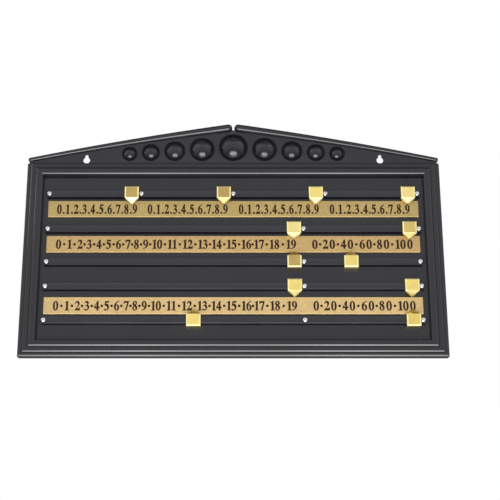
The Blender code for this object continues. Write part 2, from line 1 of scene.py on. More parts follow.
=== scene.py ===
"""Dresses the billiard scoreboard for its picture.

Everything is in metres in the row's frame: the wall is the plane Y = 0, the front faces -Y and +Z is up.
A depth is a distance in front of the wall, and a height is measured from the board's lower edge.
"""

import math

import bmesh
import bpy
from mathutils import Matrix, Vector


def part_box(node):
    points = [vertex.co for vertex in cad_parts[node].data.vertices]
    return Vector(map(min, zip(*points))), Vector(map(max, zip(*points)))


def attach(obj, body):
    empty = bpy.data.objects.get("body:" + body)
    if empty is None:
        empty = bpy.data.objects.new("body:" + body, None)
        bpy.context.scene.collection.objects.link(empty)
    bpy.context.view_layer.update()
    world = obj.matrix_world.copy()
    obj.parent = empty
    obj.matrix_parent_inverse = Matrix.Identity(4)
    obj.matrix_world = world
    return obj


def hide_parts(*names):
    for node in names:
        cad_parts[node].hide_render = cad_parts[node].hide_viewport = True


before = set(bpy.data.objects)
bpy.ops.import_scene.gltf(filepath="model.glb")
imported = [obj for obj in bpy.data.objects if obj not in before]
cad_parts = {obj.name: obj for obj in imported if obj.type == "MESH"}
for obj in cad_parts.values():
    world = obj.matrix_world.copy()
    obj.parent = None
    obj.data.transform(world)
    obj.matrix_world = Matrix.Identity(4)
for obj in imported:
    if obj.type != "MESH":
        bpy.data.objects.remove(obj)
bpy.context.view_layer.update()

# The solids' own sizes
PANEL_WIDTH = 0.635
PANEL_HEIGHT = 0.280
PANEL_DEPTH = 0.010
GABLE_RISE = 0.065
WALL = 0.0025
BAND_WIDTH = 0.0068
RIDGE_WIDTH = 0.0092
BEAD_WIDTH = 0.0115
BAND_RISE = 0.0076
RIDGE_RISE = 0.0096
BEAD_RISE = 0.012
BAND_ROUND = 0.0021
RIDGE_ROUND = 0.0028
BEAD_ROUND = 0.0045
WALL_SLOPE = 0.0003
PLATE_RISE = 0.003
GABLE_INSET = 0.0025
APEX_DROP = 0.010
TRIM_RADIUS_MIDDLE = 0.0066
TRIM_RADIUS_TIP = 0.0036
TRIM_MIDDLE_GAP = 0.0033
TRIM_TIP_LIFT = 0.0080
TRIM_BOW = 0.0027
DOME_SHARES = (0.806, 0.817, 0.820, 0.837, 0.857)
DOME_SPACING = 0.0070
DOME_LIFT = 0.0058
DOME_RING = 0.0018
DOME_RING_DEPTH = 0.0011
DOME_BULGE_SHARE = 0.51
KEYHOLE_REACH_SHARE = 0.716
KEYHOLE_LIFT = 0.0072
KEYHOLE_RADIUS = 0.0056
KEYHOLE_SLOT_WIDTH = 0.0054
KEYHOLE_SLOT_TOP = 0.0100
STRIP_PLACE_SHARES = (0.7929, 0.575, 0.2036)
STRIP_THICKNESS = 0.0012
SEAT_GAP = 0.0003
SLIDE_CLEARANCE = 0.0004
RAIL_NEAR = 0.0250
RAIL_FAR = 0.0314
RAIL_MARGIN = 0.0065
RAIL_WIDTH = 0.011
RAIL_HEIGHT = 0.0073
RAIL_LIP = 0.0030
RAIL_WEB = 0.0050
RAIL_CROWN = 0.0008
SCREW_MARGIN = 0.0117
MIDDLE_STOP_SHARE = 0.3777
HUNDREDS_PARKED_SHARE = 0.63
SCORE_PARKED_SHARE = -0.2096
SCREW_HEAD_RADIUS = 0.00375
SCREW_HEAD_HEIGHT = 0.0023
SCREW_HEAD_RIM = 0.0007
SCREW_SHANK_RADIUS = 0.0015
SCREW_LENGTH = 0.014
STOP_GAP = 0.0003
BOSS_RADIUS = 0.004
BOSS_STANDOFF = 0.0015
RIB = 0.0025
PAD_RADIUS = 0.010
SLIDER_WIDTH = 0.0233
SLIDER_BACK = 0.0110
SLIDER_SHOULDER = 0.0088
SLIDER_POINT = 0.0182
SLIDER_RISE = 0.0134
SLIDER_FOOT = 0.0008
SLIDER_POINT_FOOT = 0.0010
SLIDER_POINT_THICKNESS = 0.0009

BORDER_WIDTH = BAND_WIDTH + RIDGE_WIDTH + BEAD_WIDTH
HALF_WIDTH = PANEL_WIDTH / 2 + BORDER_WIDTH
PANEL_TOP = BORDER_WIDTH + PANEL_HEIGHT
BORDER_TOP = PANEL_TOP + BORDER_WIDTH
BOARD_HEIGHT = BORDER_TOP + GABLE_RISE
GABLE_FOOT = BORDER_TOP - BAND_WIDTH
DOME_FOOT = GABLE_FOOT + DOME_LIFT
PLATE_DEPTH = PANEL_DEPTH + PLATE_RISE
RIB_FRONT = PANEL_DEPTH - WALL / 2
TRIM_TIP = (HALF_WIDTH - TRIM_RADIUS_TIP, GABLE_FOOT + TRIM_TIP_LIFT)
TRIM_END = (TRIM_MIDDLE_GAP / 2 + TRIM_RADIUS_MIDDLE, BOARD_HEIGHT - TRIM_RADIUS_MIDDLE)
TRIM_SLOPE = (TRIM_END[1] - TRIM_TIP[1]) / (TRIM_TIP[0] - TRIM_END[0])
KEYHOLE_REACH = HALF_WIDTH * KEYHOLE_REACH_SHARE
STRIP_HEIGHTS = tuple(BORDER_WIDTH + PANEL_HEIGHT * share for share in STRIP_PLACE_SHARES)
RAIL_LENGTH = PANEL_WIDTH - 2 * RAIL_MARGIN
SCREW_REACH = PANEL_WIDTH / 2 - SCREW_MARGIN
STRIP_DEPTH = PANEL_DEPTH + SEAT_GAP + STRIP_THICKNESS
RAIL_FOOT = PANEL_DEPTH + SEAT_GAP
RAIL_DEPTH = RAIL_FOOT + RAIL_HEIGHT
HEAD_FOOT = RAIL_DEPTH + SEAT_GAP
STOP_OFFSET = SLIDER_WIDTH / 2 + SCREW_HEAD_RADIUS + STOP_GAP
TOP_STOPS = (-SCREW_REACH, -SCREW_REACH / 2, 0, SCREW_REACH / 2, SCREW_REACH)
LOWER_STOPS = (-SCREW_REACH, SCREW_REACH * MIDDLE_STOP_SHARE, SCREW_REACH)
UP = 1
DOWN = -1


def parked(stops):
    return [stop - STOP_OFFSET for stop in stops[1:]]


LOWER_PARKED = parked(LOWER_STOPS)
HUNDREDS_PARKED_AT = SCREW_REACH * HUNDREDS_PARKED_SHARE
SCORE_PARKED_AT = SCREW_REACH * SCORE_PARKED_SHARE

# Each rail from the top one down: its height, its screws, where its sliders stand and which way they point
RAILS = (
    (STRIP_HEIGHTS[0] + RAIL_NEAR, TOP_STOPS, parked(TOP_STOPS), DOWN),
    (STRIP_HEIGHTS[1] + RAIL_NEAR, LOWER_STOPS, LOWER_PARKED, DOWN),
    (STRIP_HEIGHTS[1] - RAIL_FAR, LOWER_STOPS, (LOWER_PARKED[0], HUNDREDS_PARKED_AT), UP),
    (STRIP_HEIGHTS[2] + RAIL_FAR, LOWER_STOPS, LOWER_PARKED, DOWN),
    (STRIP_HEIGHTS[2] - RAIL_NEAR, LOWER_STOPS, (SCORE_PARKED_AT, LOWER_PARKED[1]), UP),
)

# Only the picture's own detail: first the counts of steps and sides
RIB_STEPS = 8
KEYHOLE_STEPS = 48
STRIP_STEPS = 6
CROWN_STEPS = 16
HEAD_STEPS = 12
HEAD_SIDES = 40
BOSS_SIDES = 32
PAD_SIDES = 64
OVAL_STEPS = 12
DOME_SIDES = 96
DOME_STEPS = 18
TRIM_SPANS = 28
TRIM_STEPS = 28
TRIM_FLAT = 19
TRIM_END_STEPS = 12
HOLE_STEPS = 96

# Fine sizes, and the shares and turns that go with them
WELD = 0.000002
MITRE_SHARE = 0.001
# The widths of the bands along edges that hold the pale edge wear and painted edge highlight
MOULDING_WEAR_AND_SHEEN_BAND = 0.0006
STRIP_WEAR_AND_SHEEN_BAND = 0.0003
RAIL_WEAR_AND_SHEEN_BAND = 0.00025
EDGE_ROUND = 0.0003
RAIL_EDGE = 0.00005
FACET_WIDTH = 0.0021
FACET_FALL = 0.00089
BEAD_FACET_WIDTH = 0.0016
BEAD_FACET_FALL = 0.00096
RIB_CORNER = 0.0005
BEAD_CROWN = 0.0003
RIB_WALL_WIDTH = 0.0009
RIB_FALL = 0.0006
RIDGE_DROP = 0.0010
TRIM_SHRINK = 0.00008
DOME_SHRINK = 0.00002
DOME_RING_WIDE = 0.0029
RING_FLOOR_DROP = 0.0019
STRIP_ROUND_TALL = 0.0009
STRIP_ROUND_DEEP = 0.0005
CHAMFER_WIDTH = 0.0023
CHAMFER_DROP = 0.0011
SLIDER_SOFTENING = 0.00022
CUT_BEYOND = 0.004
CUT_REACH = 0.000001
LOOPS_BESIDE = (0.0003, 0.0008)
LOOP_SHARES = (1.0, 1.6)
BROAD_SHARE = 4.5
SPIN_BY_RAIL = 0.7
SPIN_BY_SCREW = 1.9

# The cross recess in a screw's head, as height, half length and half width above and at its floor
RECESS_ABOVE = (SCREW_HEAD_HEIGHT + 0.0010, 0.0016, 0.00042)
RECESS_FLOOR = (0.0009, 0.0007, 0.00022)

# How a digit is drawn: how square its ovals are, and the rest as shares of its size
OVAL_SQUARENESS = 2.25
DRAWN_WIDTH = 0.58
DRAWN_HEIGHT = 0.98
DRAWN_MIDDLE = 0.285
SIDE_SPACE = 0.02

# Strip 1, with four counts from 0 to 9: the digits' size, foot and pitch, and where each count starts
UNIT_TALL = 0.0160
UNIT_WIDE = 0.0129
UNIT_FOOT = -0.0083
UNIT_PITCH = 0.01394
UNIT_STARTS = (-0.2929, -0.1422, 0.0093, 0.1604)
POINT_RADIUS = 0.00135
POINT_SHARE = 0.52

# Strips 2 and 3, from 0 to 19 and then in twenties from 0 to 100, with each number's middle
ROW_TALL = 0.0151
ROW_WIDE = 0.0147
ROW_FOOT = -0.0077
TWENTIES_WIDE = 0.0156
TWENTIES_GAP = 0.0020
DOT_RADIUS = 0.0018
DOT_SHARE = 0.48
COUNTS = (-0.2879, -0.2696, -0.2526, -0.2372, -0.2211, -0.2052, -0.1890, -0.1737, -0.1595, -0.1445, -0.1253,
          -0.1005, -0.0751, -0.0499, -0.0272, -0.0026, 0.0215, 0.0424, 0.0679, 0.0953)
TWENTIES = (0.1344, 0.1573, 0.1873, 0.2181, 0.2467, 0.2811)
INK_PROUD = 0.00006
INK_SUNK = 0.00005
INK_SPREAD = 0.00042

# Colours, all linear. Each slider has the gold of its face and that of its tip or lower edge. The golds are
# lit and shaded copies of one gold: the faces differ from slider to slider as painted reflections, the edge
# gold is a painted highlight on the chamfers, the tip golds paint the light and shade on the facets facing
# down, and the lip gold is painted shade on the lower faces of sliders pointing up.
STRIP_TONES = ((0.412, 0.300, 0.114), (0.464, 0.316, 0.128), (0.543, 0.387, 0.174))
GOLDS = {
    "dull": (0.50, 0.36, 0.125),
    "plain": (0.68, 0.50, 0.165),
    "bright": (0.87, 0.69, 0.215),
    "pale": (0.88, 0.72, 0.28),
    "warm": (0.79, 0.60, 0.17),
    "edge": (0.95, 0.81, 0.38),
    "tip_white": (1.0, 0.92, 0.60),
    "tip": (0.74, 0.68, 0.40),
    "tip_gold": (0.70, 0.62, 0.26),
    "lip": (0.33, 0.29, 0.14),
}
# The pale tones of the sliders' edges, partly wear and partly a painted edge highlight
EDGE_WEAR_AND_SHEEN_GOLD = (1.0, 0.90, 0.58)
EDGE_WEAR_AND_SHEEN_LIP = (0.42, 0.36, 0.18)
# Each slider's face gold and tip gold, by rail and place: painted reflections and painted light and shade,
# slider by slider
SLIDER_GOLDS = {
    (1, 1): ("dull", "tip_white"), (1, 2): ("dull", "tip_gold"),
    (1, 3): ("bright", "tip"), (1, 4): ("pale", "tip"),
    (2, 1): ("pale", "tip"), (2, 2): ("plain", "tip_gold"),
    (3, 1): ("dull", "lip"), (3, 2): ("bright", "lip"),
    (4, 1): ("bright", "tip_gold"), (4, 2): ("bright", "tip_gold"),
    (5, 1): ("bright", "lip"), (5, 2): ("warm", "lip"),
}

# How far a slider's facets turn from its front and downwards, as parts of their normals
FRONT_TURN = -0.985
CHAMFER_TURN = -0.75
POINT_TURN = -0.6
LOWER_TURN = -0.15

# The places of a slider's second and third material
EDGE_GOLD = 1
TIP_GOLD = 2

# The picture's camera and lights, in metres, degrees and watts, with the lens and sensor in millimetres
CAMERA_PLACE = (0, -1.702, -0.516)
CAMERA_TILT = 16.3
CAMERA_LENS = 77.1
CAMERA_SENSOR = 36
CAMERA_SHIFT = 0.0334
FLOOR_PLACE = (0, -1, -1.9)
FLOOR_HALF = 6
SOFT_CORE = 0.10
SOFT_DIP = 0.66
DIP_SPAN = (0.065, 0.105)

# Each light's name, place, aim, width, height and power. Only the first one is shaped
LIGHTS = (
    ("low_front", (0.02, -1.554, -1.26), (0, 0, 0), 2.9, 1.9, 178),
    ("on_floor", (0, -0.75, -1.25), (0, -0.75, -1.9), 2.0, 1.2, 14),
    ("low_left", (-1.8, -0.12, 0.55), (0, 0, 0.1), 0.24, 0.24, 2.0),
)


def world_point(across, depth, height):
    return Vector((across, -depth, height - BOARD_HEIGHT / 2))


def facing_front(across, depth, height):
    turn = Matrix(((1, 0, 0, 0), (0, 0, -1, 0), (0, 1, 0, 0), (0, 0, 0, 1)))
    return Matrix.Translation(world_point(across, depth, height)) @ turn


def add_edge_loops(bm, width):
    """Splits the broad faces close to their edges, so that the pale edge wear and painted edge highlight stay
    at the edges.
    """
    for share in LOOP_SHARES:
        broad = [face for face in bm.faces
                 if 2 * face.calc_area() / face.calc_perimeter() > BROAD_SHARE * width]
        bmesh.ops.inset_individual(bm, faces=broad, thickness=width * share, use_even_offset=True)


def linked(name, data):
    holder = bpy.data.objects.new(name, data)
    bpy.context.scene.collection.objects.link(holder)
    return holder


def held(name, bm, wear_and_sheen_band=None):
    """Welds a mesh, turns its faces outward and makes it an object."""
    bmesh.ops.remove_doubles(bm, verts=bm.verts, dist=WELD)
    bmesh.ops.recalc_face_normals(bm, faces=bm.faces)
    if wear_and_sheen_band:
        add_edge_loops(bm, wear_and_sheen_band)
    mesh = bpy.data.meshes.new(name)
    bm.to_mesh(mesh)
    bm.free()
    return linked(name, mesh)


def cut_away(target, tools):
    for tool in tools:
        cut = target.modifiers.new(tool.name, "BOOLEAN")
        cut.operation = "DIFFERENCE"
        cut.solver = "EXACT"
        cut.object = tool


def baked(holder, tools=()):
    """The final mesh of an object, which is removed with its tools."""
    bpy.context.view_layer.update()
    made = bpy.data.meshes.new_from_object(holder.evaluated_get(bpy.context.evaluated_depsgraph_get()))
    for spent in (*tools, holder):
        bpy.data.objects.remove(spent, do_unlink=True)
    return made


def new_piece(name, bm, material, body, sharp=35, wear_and_sheen_band=None):
    piece = held(name, bm, wear_and_sheen_band)
    piece.data.shade_smooth()
    piece.data.set_sharp_from_angle(angle=math.radians(sharp))
    piece.data.materials.append(material)
    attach(piece, body)
    return piece


def add_loft(bm, sections, is_ring=False, capped=True):
    rows = [[bm.verts.new(point) for point in section] for section in sections]
    pairs = list(zip(rows, rows[1:]))
    if is_ring:
        pairs.append((rows[-1], rows[0]))
    elif capped:
        bm.faces.new(rows[0])
        bm.faces.new(rows[-1])
    for here, there in pairs:
        for first in range(len(here)):
            second = (first + 1) % len(here)
            bm.faces.new((here[first], here[second], there[second], there[first]))


def add_turned(bm, profile, sides, placement):
    """A closed profile of radius and height turned about the placement's local Z."""
    sections = []
    for side in range(sides):
        turn = 2 * math.pi * side / sides
        sections.append([placement @ Vector((r * math.cos(turn), r * math.sin(turn), z)) for r, z in profile])
    add_loft(bm, sections, is_ring=True)


def add_box(bm, low, high):
    corners = [(low.x, low.z), (high.x, low.z), (high.x, high.z), (low.x, high.z)]
    add_loft(bm, [[Vector((x, y, z)) for x, z in corners] for y in (low.y, high.y)])


def filled_curve(half_thickness, offset):
    curve = bpy.data.curves.new("outline", "CURVE")
    curve.dimensions = "2D"
    curve.fill_mode = "BOTH"
    curve.extrude = half_thickness
    curve.offset = offset
    return curve


def add_curve(bm, curve, placement):
    """Adds the solid of a filled curve and removes the curve."""
    flat = baked(linked("outline", curve))
    flat.transform(placement)
    bm.from_mesh(flat)
    bpy.data.curves.remove(curve)
    bpy.data.meshes.remove(flat)


def add_outline(bm, loops, back, front, bevel=0.0):
    """Flat loops across and in height, the first outside and the rest holes, between two depths."""
    curve = filled_curve((front - back) / 2 - bevel, -bevel)
    curve.bevel_depth = bevel
    curve.bevel_resolution = 3
    for loop in loops:
        spline = curve.splines.new("POLY")
        spline.points.add(len(loop) - 1)
        for point, (x, y) in zip(spline.points, loop):
            point.co = (x, y, 0, 1)
        spline.use_cyclic_u = True
    add_curve(bm, curve, facing_front(0, (back + front) / 2, 0))


def circle(across, height, radius):
    turns = [2 * math.pi * step / HOLE_STEPS for step in range(HOLE_STEPS)]
    return [(across + radius * math.cos(turn), height + radius * math.sin(turn)) for turn in turns]


def facet(first, last):
    """A flat run with two points close to its ends, so that its shading stays flat."""
    return [tuple(a + (b - a) * share for a, b in zip(first, last)) for share in (0, 0.08, 0.92, 1)]


def outer_flank(start, base, top):
    low = top - FACET_FALL
    corner = start + RIB_CORNER
    return [(start, base), (start, low - RIB_CORNER)] + facet((corner, low), (corner + FACET_WIDTH, top))


def rib(start, width, base, top, foot):
    """A wall and a facet outside, a crest that falls slightly towards the panel and a steep inner wall."""
    points = outer_flank(start, base, top)
    crest = points[-1][0]
    edge = start + width - RIB_WALL_WIDTH
    for step in range(1, RIB_STEPS + 1):
        share = step / RIB_STEPS
        points.append((crest + (edge - crest) * share, top - RIB_FALL * share ** 2))
    return points + [(start + width, foot)]


def bead(start, width, base, top):
    """A crowned rib with a facet on both sides."""
    points = outer_flank(start, base, top - BEAD_CROWN)
    crest = points[-1][0]
    edge = start + width - RIB_CORNER
    low = top - BEAD_CROWN - BEAD_FACET_FALL
    for step in range(1, RIB_STEPS):
        share = step / RIB_STEPS
        across = crest + (edge - BEAD_FACET_WIDTH - crest) * share
        points.append((across, top - BEAD_CROWN * (2 * share - 1) ** 2))
    points += facet((edge - BEAD_FACET_WIDTH, top - BEAD_CROWN), (edge, low))
    return points + [(start + width, low - RIB_CORNER), (start + width, base)]


def border_section():
    bead_base = PANEL_DEPTH + BEAD_RISE - BEAD_ROUND
    ridge_base = PANEL_DEPTH + RIDGE_RISE - RIDGE_ROUND - RIDGE_DROP
    ridge = rib(BAND_WIDTH, RIDGE_WIDTH, ridge_base, PANEL_DEPTH + RIDGE_RISE, bead_base - WALL_SLOPE)
    inside = bead(BAND_WIDTH + RIDGE_WIDTH, BEAD_WIDTH - WALL_SLOPE, bead_base, PANEL_DEPTH + BEAD_RISE)
    low = ridge_base - WALL
    high = PANEL_DEPTH + BEAD_RISE - WALL
    start = BAND_WIDTH + WALL
    step = BAND_WIDTH + RIDGE_WIDTH
    inner = BORDER_WIDTH - WALL
    foot = [(BORDER_WIDTH, PANEL_DEPTH - WALL / 2), (BORDER_WIDTH, 0)]
    hollow = [(inner, 0), (inner, high), (step + WALL, high), (step, low), (start, low), (start, 0)]
    return [(BAND_WIDTH, 0)] + ridge + inside + foot + hollow


def band_section():
    base = PANEL_DEPTH + BAND_RISE - BAND_ROUND
    low = base - WALL
    crossing = BAND_WIDTH + WALL / 2
    return [(0, 0)] + rib(0, BAND_WIDTH + WALL_SLOPE, base, base + BAND_ROUND, base - WALL / 4) + [
        (crossing, base - WALL / 2), (crossing, low), (WALL, low), (WALL, 0)]


def beside_mitres(corners, is_ring):
    """Adds a section close to both ends of each side, so that its flat runs are shaded flat."""
    sections = []
    for here, there in zip(corners, corners[1:] + corners[:1]):
        sections.append(here)
        for share in (MITRE_SHARE, 1 - MITRE_SHARE):
            sections.append([a.lerp(b, share) for a, b in zip(here, there)])
    return sections if is_ring else sections[:-2]


def add_border(bm):
    """The ridge and bead as a ring, and the outer band as a U whose arms end under the gable."""
    ring = []
    band = []
    for side, is_top in ((-1, True), (-1, False), (1, False), (1, True)):
        ring.append([world_point(side * (HALF_WIDTH - inset), depth, BORDER_TOP - inset if is_top else inset)
                     for inset, depth in border_section()])
        band.append([world_point(side * (HALF_WIDTH - inset), depth,
                                 GABLE_FOOT - SEAT_GAP if is_top else inset)
                     for inset, depth in band_section()])
    add_loft(bm, beside_mitres(ring, True), is_ring=True)
    add_loft(bm, beside_mitres(band, False))


def trim_line():
    """The axis of the right trim from its tip to its end, as place across, height and radius."""
    stations = []
    for step in range(TRIM_SPANS + 1):
        share = step / TRIM_SPANS
        across = TRIM_TIP[0] + (TRIM_END[0] - TRIM_TIP[0]) * share
        height = TRIM_TIP[1] + (TRIM_END[1] - TRIM_TIP[1]) * share + TRIM_BOW * 4 * share * (1 - share)
        stations.append((across, height, TRIM_RADIUS_TIP + (TRIM_RADIUS_MIDDLE - TRIM_RADIUS_TIP) * share))
    return stations


def add_trim(bm, side):
    """A hollow half-round shell with ball ends that thickens towards the middle."""
    line = [(world_point(side * across, 0, height), radius - TRIM_SHRINK)
            for across, height, radius in trim_line()]
    front = Vector((0, -1, 0))

    def arc(centre, along, radius):
        across = Vector((-along.z, 0, along.x))
        section = [(math.cos(math.pi * step / TRIM_STEPS), math.sin(math.pi * step / TRIM_STEPS))
                   for step in range(TRIM_STEPS + 1)]
        section[TRIM_FLAT - 1:TRIM_FLAT + 2] = facet(section[TRIM_FLAT - 1], section[TRIM_FLAT + 1])
        points = [centre + across * radius]
        for sideways, rise in section:
            points.append(centre + across * radius * sideways + front * (PLATE_DEPTH + radius * rise))
        points.append(centre - across * radius)
        return points

    def station(centre, along, radius, beyond, turn):
        inner = radius - WALL
        outside = arc(centre + beyond * radius * math.sin(turn), along, radius * math.cos(turn))
        inside = arc(centre + beyond * inner * math.sin(turn), along, inner * math.cos(turn))
        return outside + inside[::-1]

    stations = []
    tip_way = (line[1][0] - line[0][0]).normalized()
    end_way = (line[-1][0] - line[-2][0]).normalized()
    ball_turns = [math.pi / 2 * step / TRIM_END_STEPS for step in range(1, TRIM_END_STEPS + 1)]
    for turn in reversed(ball_turns):
        stations.append(station(line[0][0], tip_way, line[0][1], -tip_way, turn))
    for index, (centre, radius) in enumerate(line):
        before = line[max(index - 1, 0)][0]
        after = line[min(index + 1, len(line) - 1)][0]
        stations.append(station(centre, (after - before).normalized(), radius, tip_way, 0))
    for turn in ball_turns:
        stations.append(station(line[-1][0], end_way, line[-1][1], end_way, turn))
    add_loft(bm, stations, capped=False)


def dome_places():
    """Each dome's place across, middle height and diameter, from the middle one outwards."""
    room_at_middle = TRIM_END[1] + TRIM_SLOPE * TRIM_END[0] - DOME_FOOT
    places = []
    across = 0
    edge = 0
    for index, share in enumerate(DOME_SHARES):
        if index:
            across = (edge + DOME_SPACING + share * room_at_middle / 2) / (1 + share * TRIM_SLOPE / 2)
        diameter = share * (room_at_middle - TRIM_SLOPE * across)
        edge = across + diameter / 2
        for side in (-1, 1) if index else (1,):
            places.append((side * across, DOME_FOOT + diameter / 2, diameter))
    return places


def add_dome(bm, across, height, diameter):
    """The groove's floor, the ball cap in it and the hollow behind, in one closed turned shell."""
    radius = diameter / 2 - DOME_RING_WIDE
    rise = (diameter / 2 - DOME_RING) * DOME_BULGE_SHARE
    ball = (radius ** 2 + rise ** 2) / (2 * rise)
    widest = math.asin(radius / ball)
    floor = PLATE_DEPTH - RING_FLOOR_DROP
    centre = PLATE_DEPTH - DOME_RING_DEPTH / 2 + rise - ball - DOME_SHRINK
    back = PLATE_DEPTH - WALL
    outer = diameter / 2 + WALL / 4
    cap = []
    hollow = []
    for step in range(DOME_STEPS + 1):
        turn = widest * step / DOME_STEPS
        cap.append((ball * math.sin(turn), centre + ball * math.cos(turn)))
        hollow.append(((ball - WALL) * math.sin(turn), centre + (ball - WALL) * math.cos(turn)))
    profile = [(outer, back), (outer, floor), (radius + EDGE_ROUND, floor), (radius, floor + EDGE_ROUND)]
    profile += cap[::-1] + hollow + [(hollow[-1][0], back - WALL / 4), (outer - WALL / 2, back - WALL / 4)]
    add_turned(bm, profile, DOME_SIDES, facing_front(across, 0, height))


def keyhole_outline(side):
    half_slot = KEYHOLE_SLOT_WIDTH / 2
    meet = math.asin(half_slot / KEYHOLE_RADIUS)
    middle = GABLE_FOOT + KEYHOLE_LIFT
    points = []
    for step in range(KEYHOLE_STEPS + 1):
        turn = math.pi / 2 + meet + (2 * math.pi - 2 * meet) * step / KEYHOLE_STEPS
        points.append((KEYHOLE_RADIUS * math.cos(turn), KEYHOLE_RADIUS * math.sin(turn)))
    for step in range(KEYHOLE_STEPS // 2 + 1):
        turn = 2 * math.pi * step / KEYHOLE_STEPS
        points.append((half_slot * math.cos(turn), KEYHOLE_SLOT_TOP - half_slot + half_slot * math.sin(turn)))
    return [(side * KEYHOLE_REACH + x, middle + y) for x, y in points]


def gable_outline(inward):
    half = HALF_WIDTH - GABLE_INSET - inward
    foot = GABLE_FOOT - WALL + inward
    under_trim = [(across, height - radius / 2 - inward) for across, height, radius in trim_line()[1:-1]]
    shoulder = [(half, TRIM_TIP[1] - TRIM_RADIUS_TIP / 2 - inward)]
    apex = [(TRIM_END[0], BOARD_HEIGHT - APEX_DROP - inward)]
    right = [(half, foot)] + shoulder + under_trim + apex
    return right + [(-across, height) for across, height in reversed(right)]


def lies_in_groove(centre):
    across, depth, height = centre.x, -centre.y, centre.z + BOARD_HEIGHT / 2
    if not PLATE_DEPTH - WALL < depth < PLATE_DEPTH - SEAT_GAP / 2:
        return False
    for middle, level, diameter in dome_places():
        away = math.hypot(across - middle, height - level)
        if diameter / 2 - DOME_RING_WIDE - EDGE_ROUND < away < diameter / 2 + EDGE_ROUND / 2:
            return True
    return False


def add_gable(bm):
    """The plate that the domes and keyholes open, and the wall round it."""
    holes = [circle(across, height, diameter / 2) for across, height, diameter in dome_places()]
    keyholes = [keyhole_outline(side) for side in (-1, 1)]
    add_outline(bm, [gable_outline(0)] + holes + keyholes, PLATE_DEPTH - WALL, PLATE_DEPTH, EDGE_ROUND)
    add_outline(bm, [gable_outline(0), gable_outline(WALL)], 0, PLATE_DEPTH - WALL / 2)


def add_panel(bm):
    """The recessed panel with the ribs behind it."""
    half_panel = PANEL_WIDTH / 2 + WALL / 2
    low = BORDER_WIDTH - WALL / 2
    high = PANEL_TOP + WALL / 2
    add_box(bm, world_point(-half_panel, PANEL_DEPTH - WALL, low), world_point(half_panel, PANEL_DEPTH, high))
    for height, _, _, _ in RAILS:
        add_box(bm, world_point(-half_panel, 0, height - RIB / 2),
                world_point(half_panel, RIB_FRONT, height + RIB / 2))
    add_box(bm, world_point(-RIB / 2, 0, low), world_point(RIB / 2, RIB_FRONT, high))


def add_bosses(bm):
    """A hollow boss behind each screw, and the pad that rests on the wall."""
    hole_end = HEAD_FOOT - SCREW_LENGTH - SEAT_GAP
    hole_radius = SCREW_SHANK_RADIUS + SEAT_GAP
    boss = [(0, hole_end), (hole_radius, hole_end), (hole_radius, RIB_FRONT), (BOSS_RADIUS, RIB_FRONT),
            (BOSS_RADIUS, BOSS_STANDOFF + EDGE_ROUND), (BOSS_RADIUS - EDGE_ROUND, BOSS_STANDOFF),
            (0, BOSS_STANDOFF)]
    for height, stops, _, _ in RAILS:
        for stop in stops:
            add_turned(bm, boss, BOSS_SIDES, facing_front(stop, 0, height))
    pad = [(0, 0), (PAD_RADIUS - EDGE_ROUND, 0), (PAD_RADIUS, EDGE_ROUND), (PAD_RADIUS, RIB_FRONT),
           (0, RIB_FRONT)]
    add_turned(bm, pad, PAD_SIDES, facing_front(0, 0, BOARD_HEIGHT / 2))


def build_moulding(material, groove):
    bm = bmesh.new()
    add_border(bm)
    for side in (-1, 1):
        add_trim(bm, side)
    for across, height, diameter in dome_places():
        add_dome(bm, across, height, diameter)
    add_gable(bm)
    add_panel(bm)
    add_bosses(bm)
    piece = new_piece("moulding", bm, material, "board", wear_and_sheen_band=MOULDING_WEAR_AND_SHEEN_BAND)
    # The faces in the dome rings take the darker, duller groove plastic: painted shade in the grooves
    piece.data.materials.append(groove)
    for face in piece.data.polygons:
        if lies_in_groove(face.center):
            face.material_index = 1
    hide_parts("board_moulding")


def strip_section(low, high):
    """Back corners square, front corners rounded, as depth along Y and height."""
    turns = [math.pi / 2 * step / STRIP_STEPS for step in range(STRIP_STEPS + 1)]
    rounding = [(low.y + STRIP_ROUND_DEEP * (1 - math.sin(turn)), STRIP_ROUND_TALL * (1 - math.cos(turn)))
                for turn in turns]
    return [(high.y, low.z), *[(y, low.z + rise) for y, rise in rounding],
            *[(y, high.z - rise) for y, rise in reversed(rounding)], (high.y, high.z)]


def ends(low, high):
    """Sections across: the two ends squeezed, and full sections an edge's rounding inside them."""
    return (low, EDGE_ROUND), (low + EDGE_ROUND, 0), (high - EDGE_ROUND, 0), (high, EDGE_ROUND)


def build_strips(materials):
    for number, material in enumerate(materials, start=1):
        low, high = (Vector(corner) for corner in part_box(f"number_strip_{number}"))
        sections = []
        for across, squeeze in ends(low.x, high.x):
            section = strip_section(low + Vector((0, squeeze, squeeze)), high - Vector((0, 0, squeeze)))
            sections.append([Vector((across, y, z)) for y, z in section])
        bm = bmesh.new()
        add_loft(bm, sections)
        strip = new_piece(f"brass_strip_{number}", bm, material, "board", wear_and_sheen_band=STRIP_WEAR_AND_SHEEN_BAND)
        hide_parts(f"number_strip_{number}")


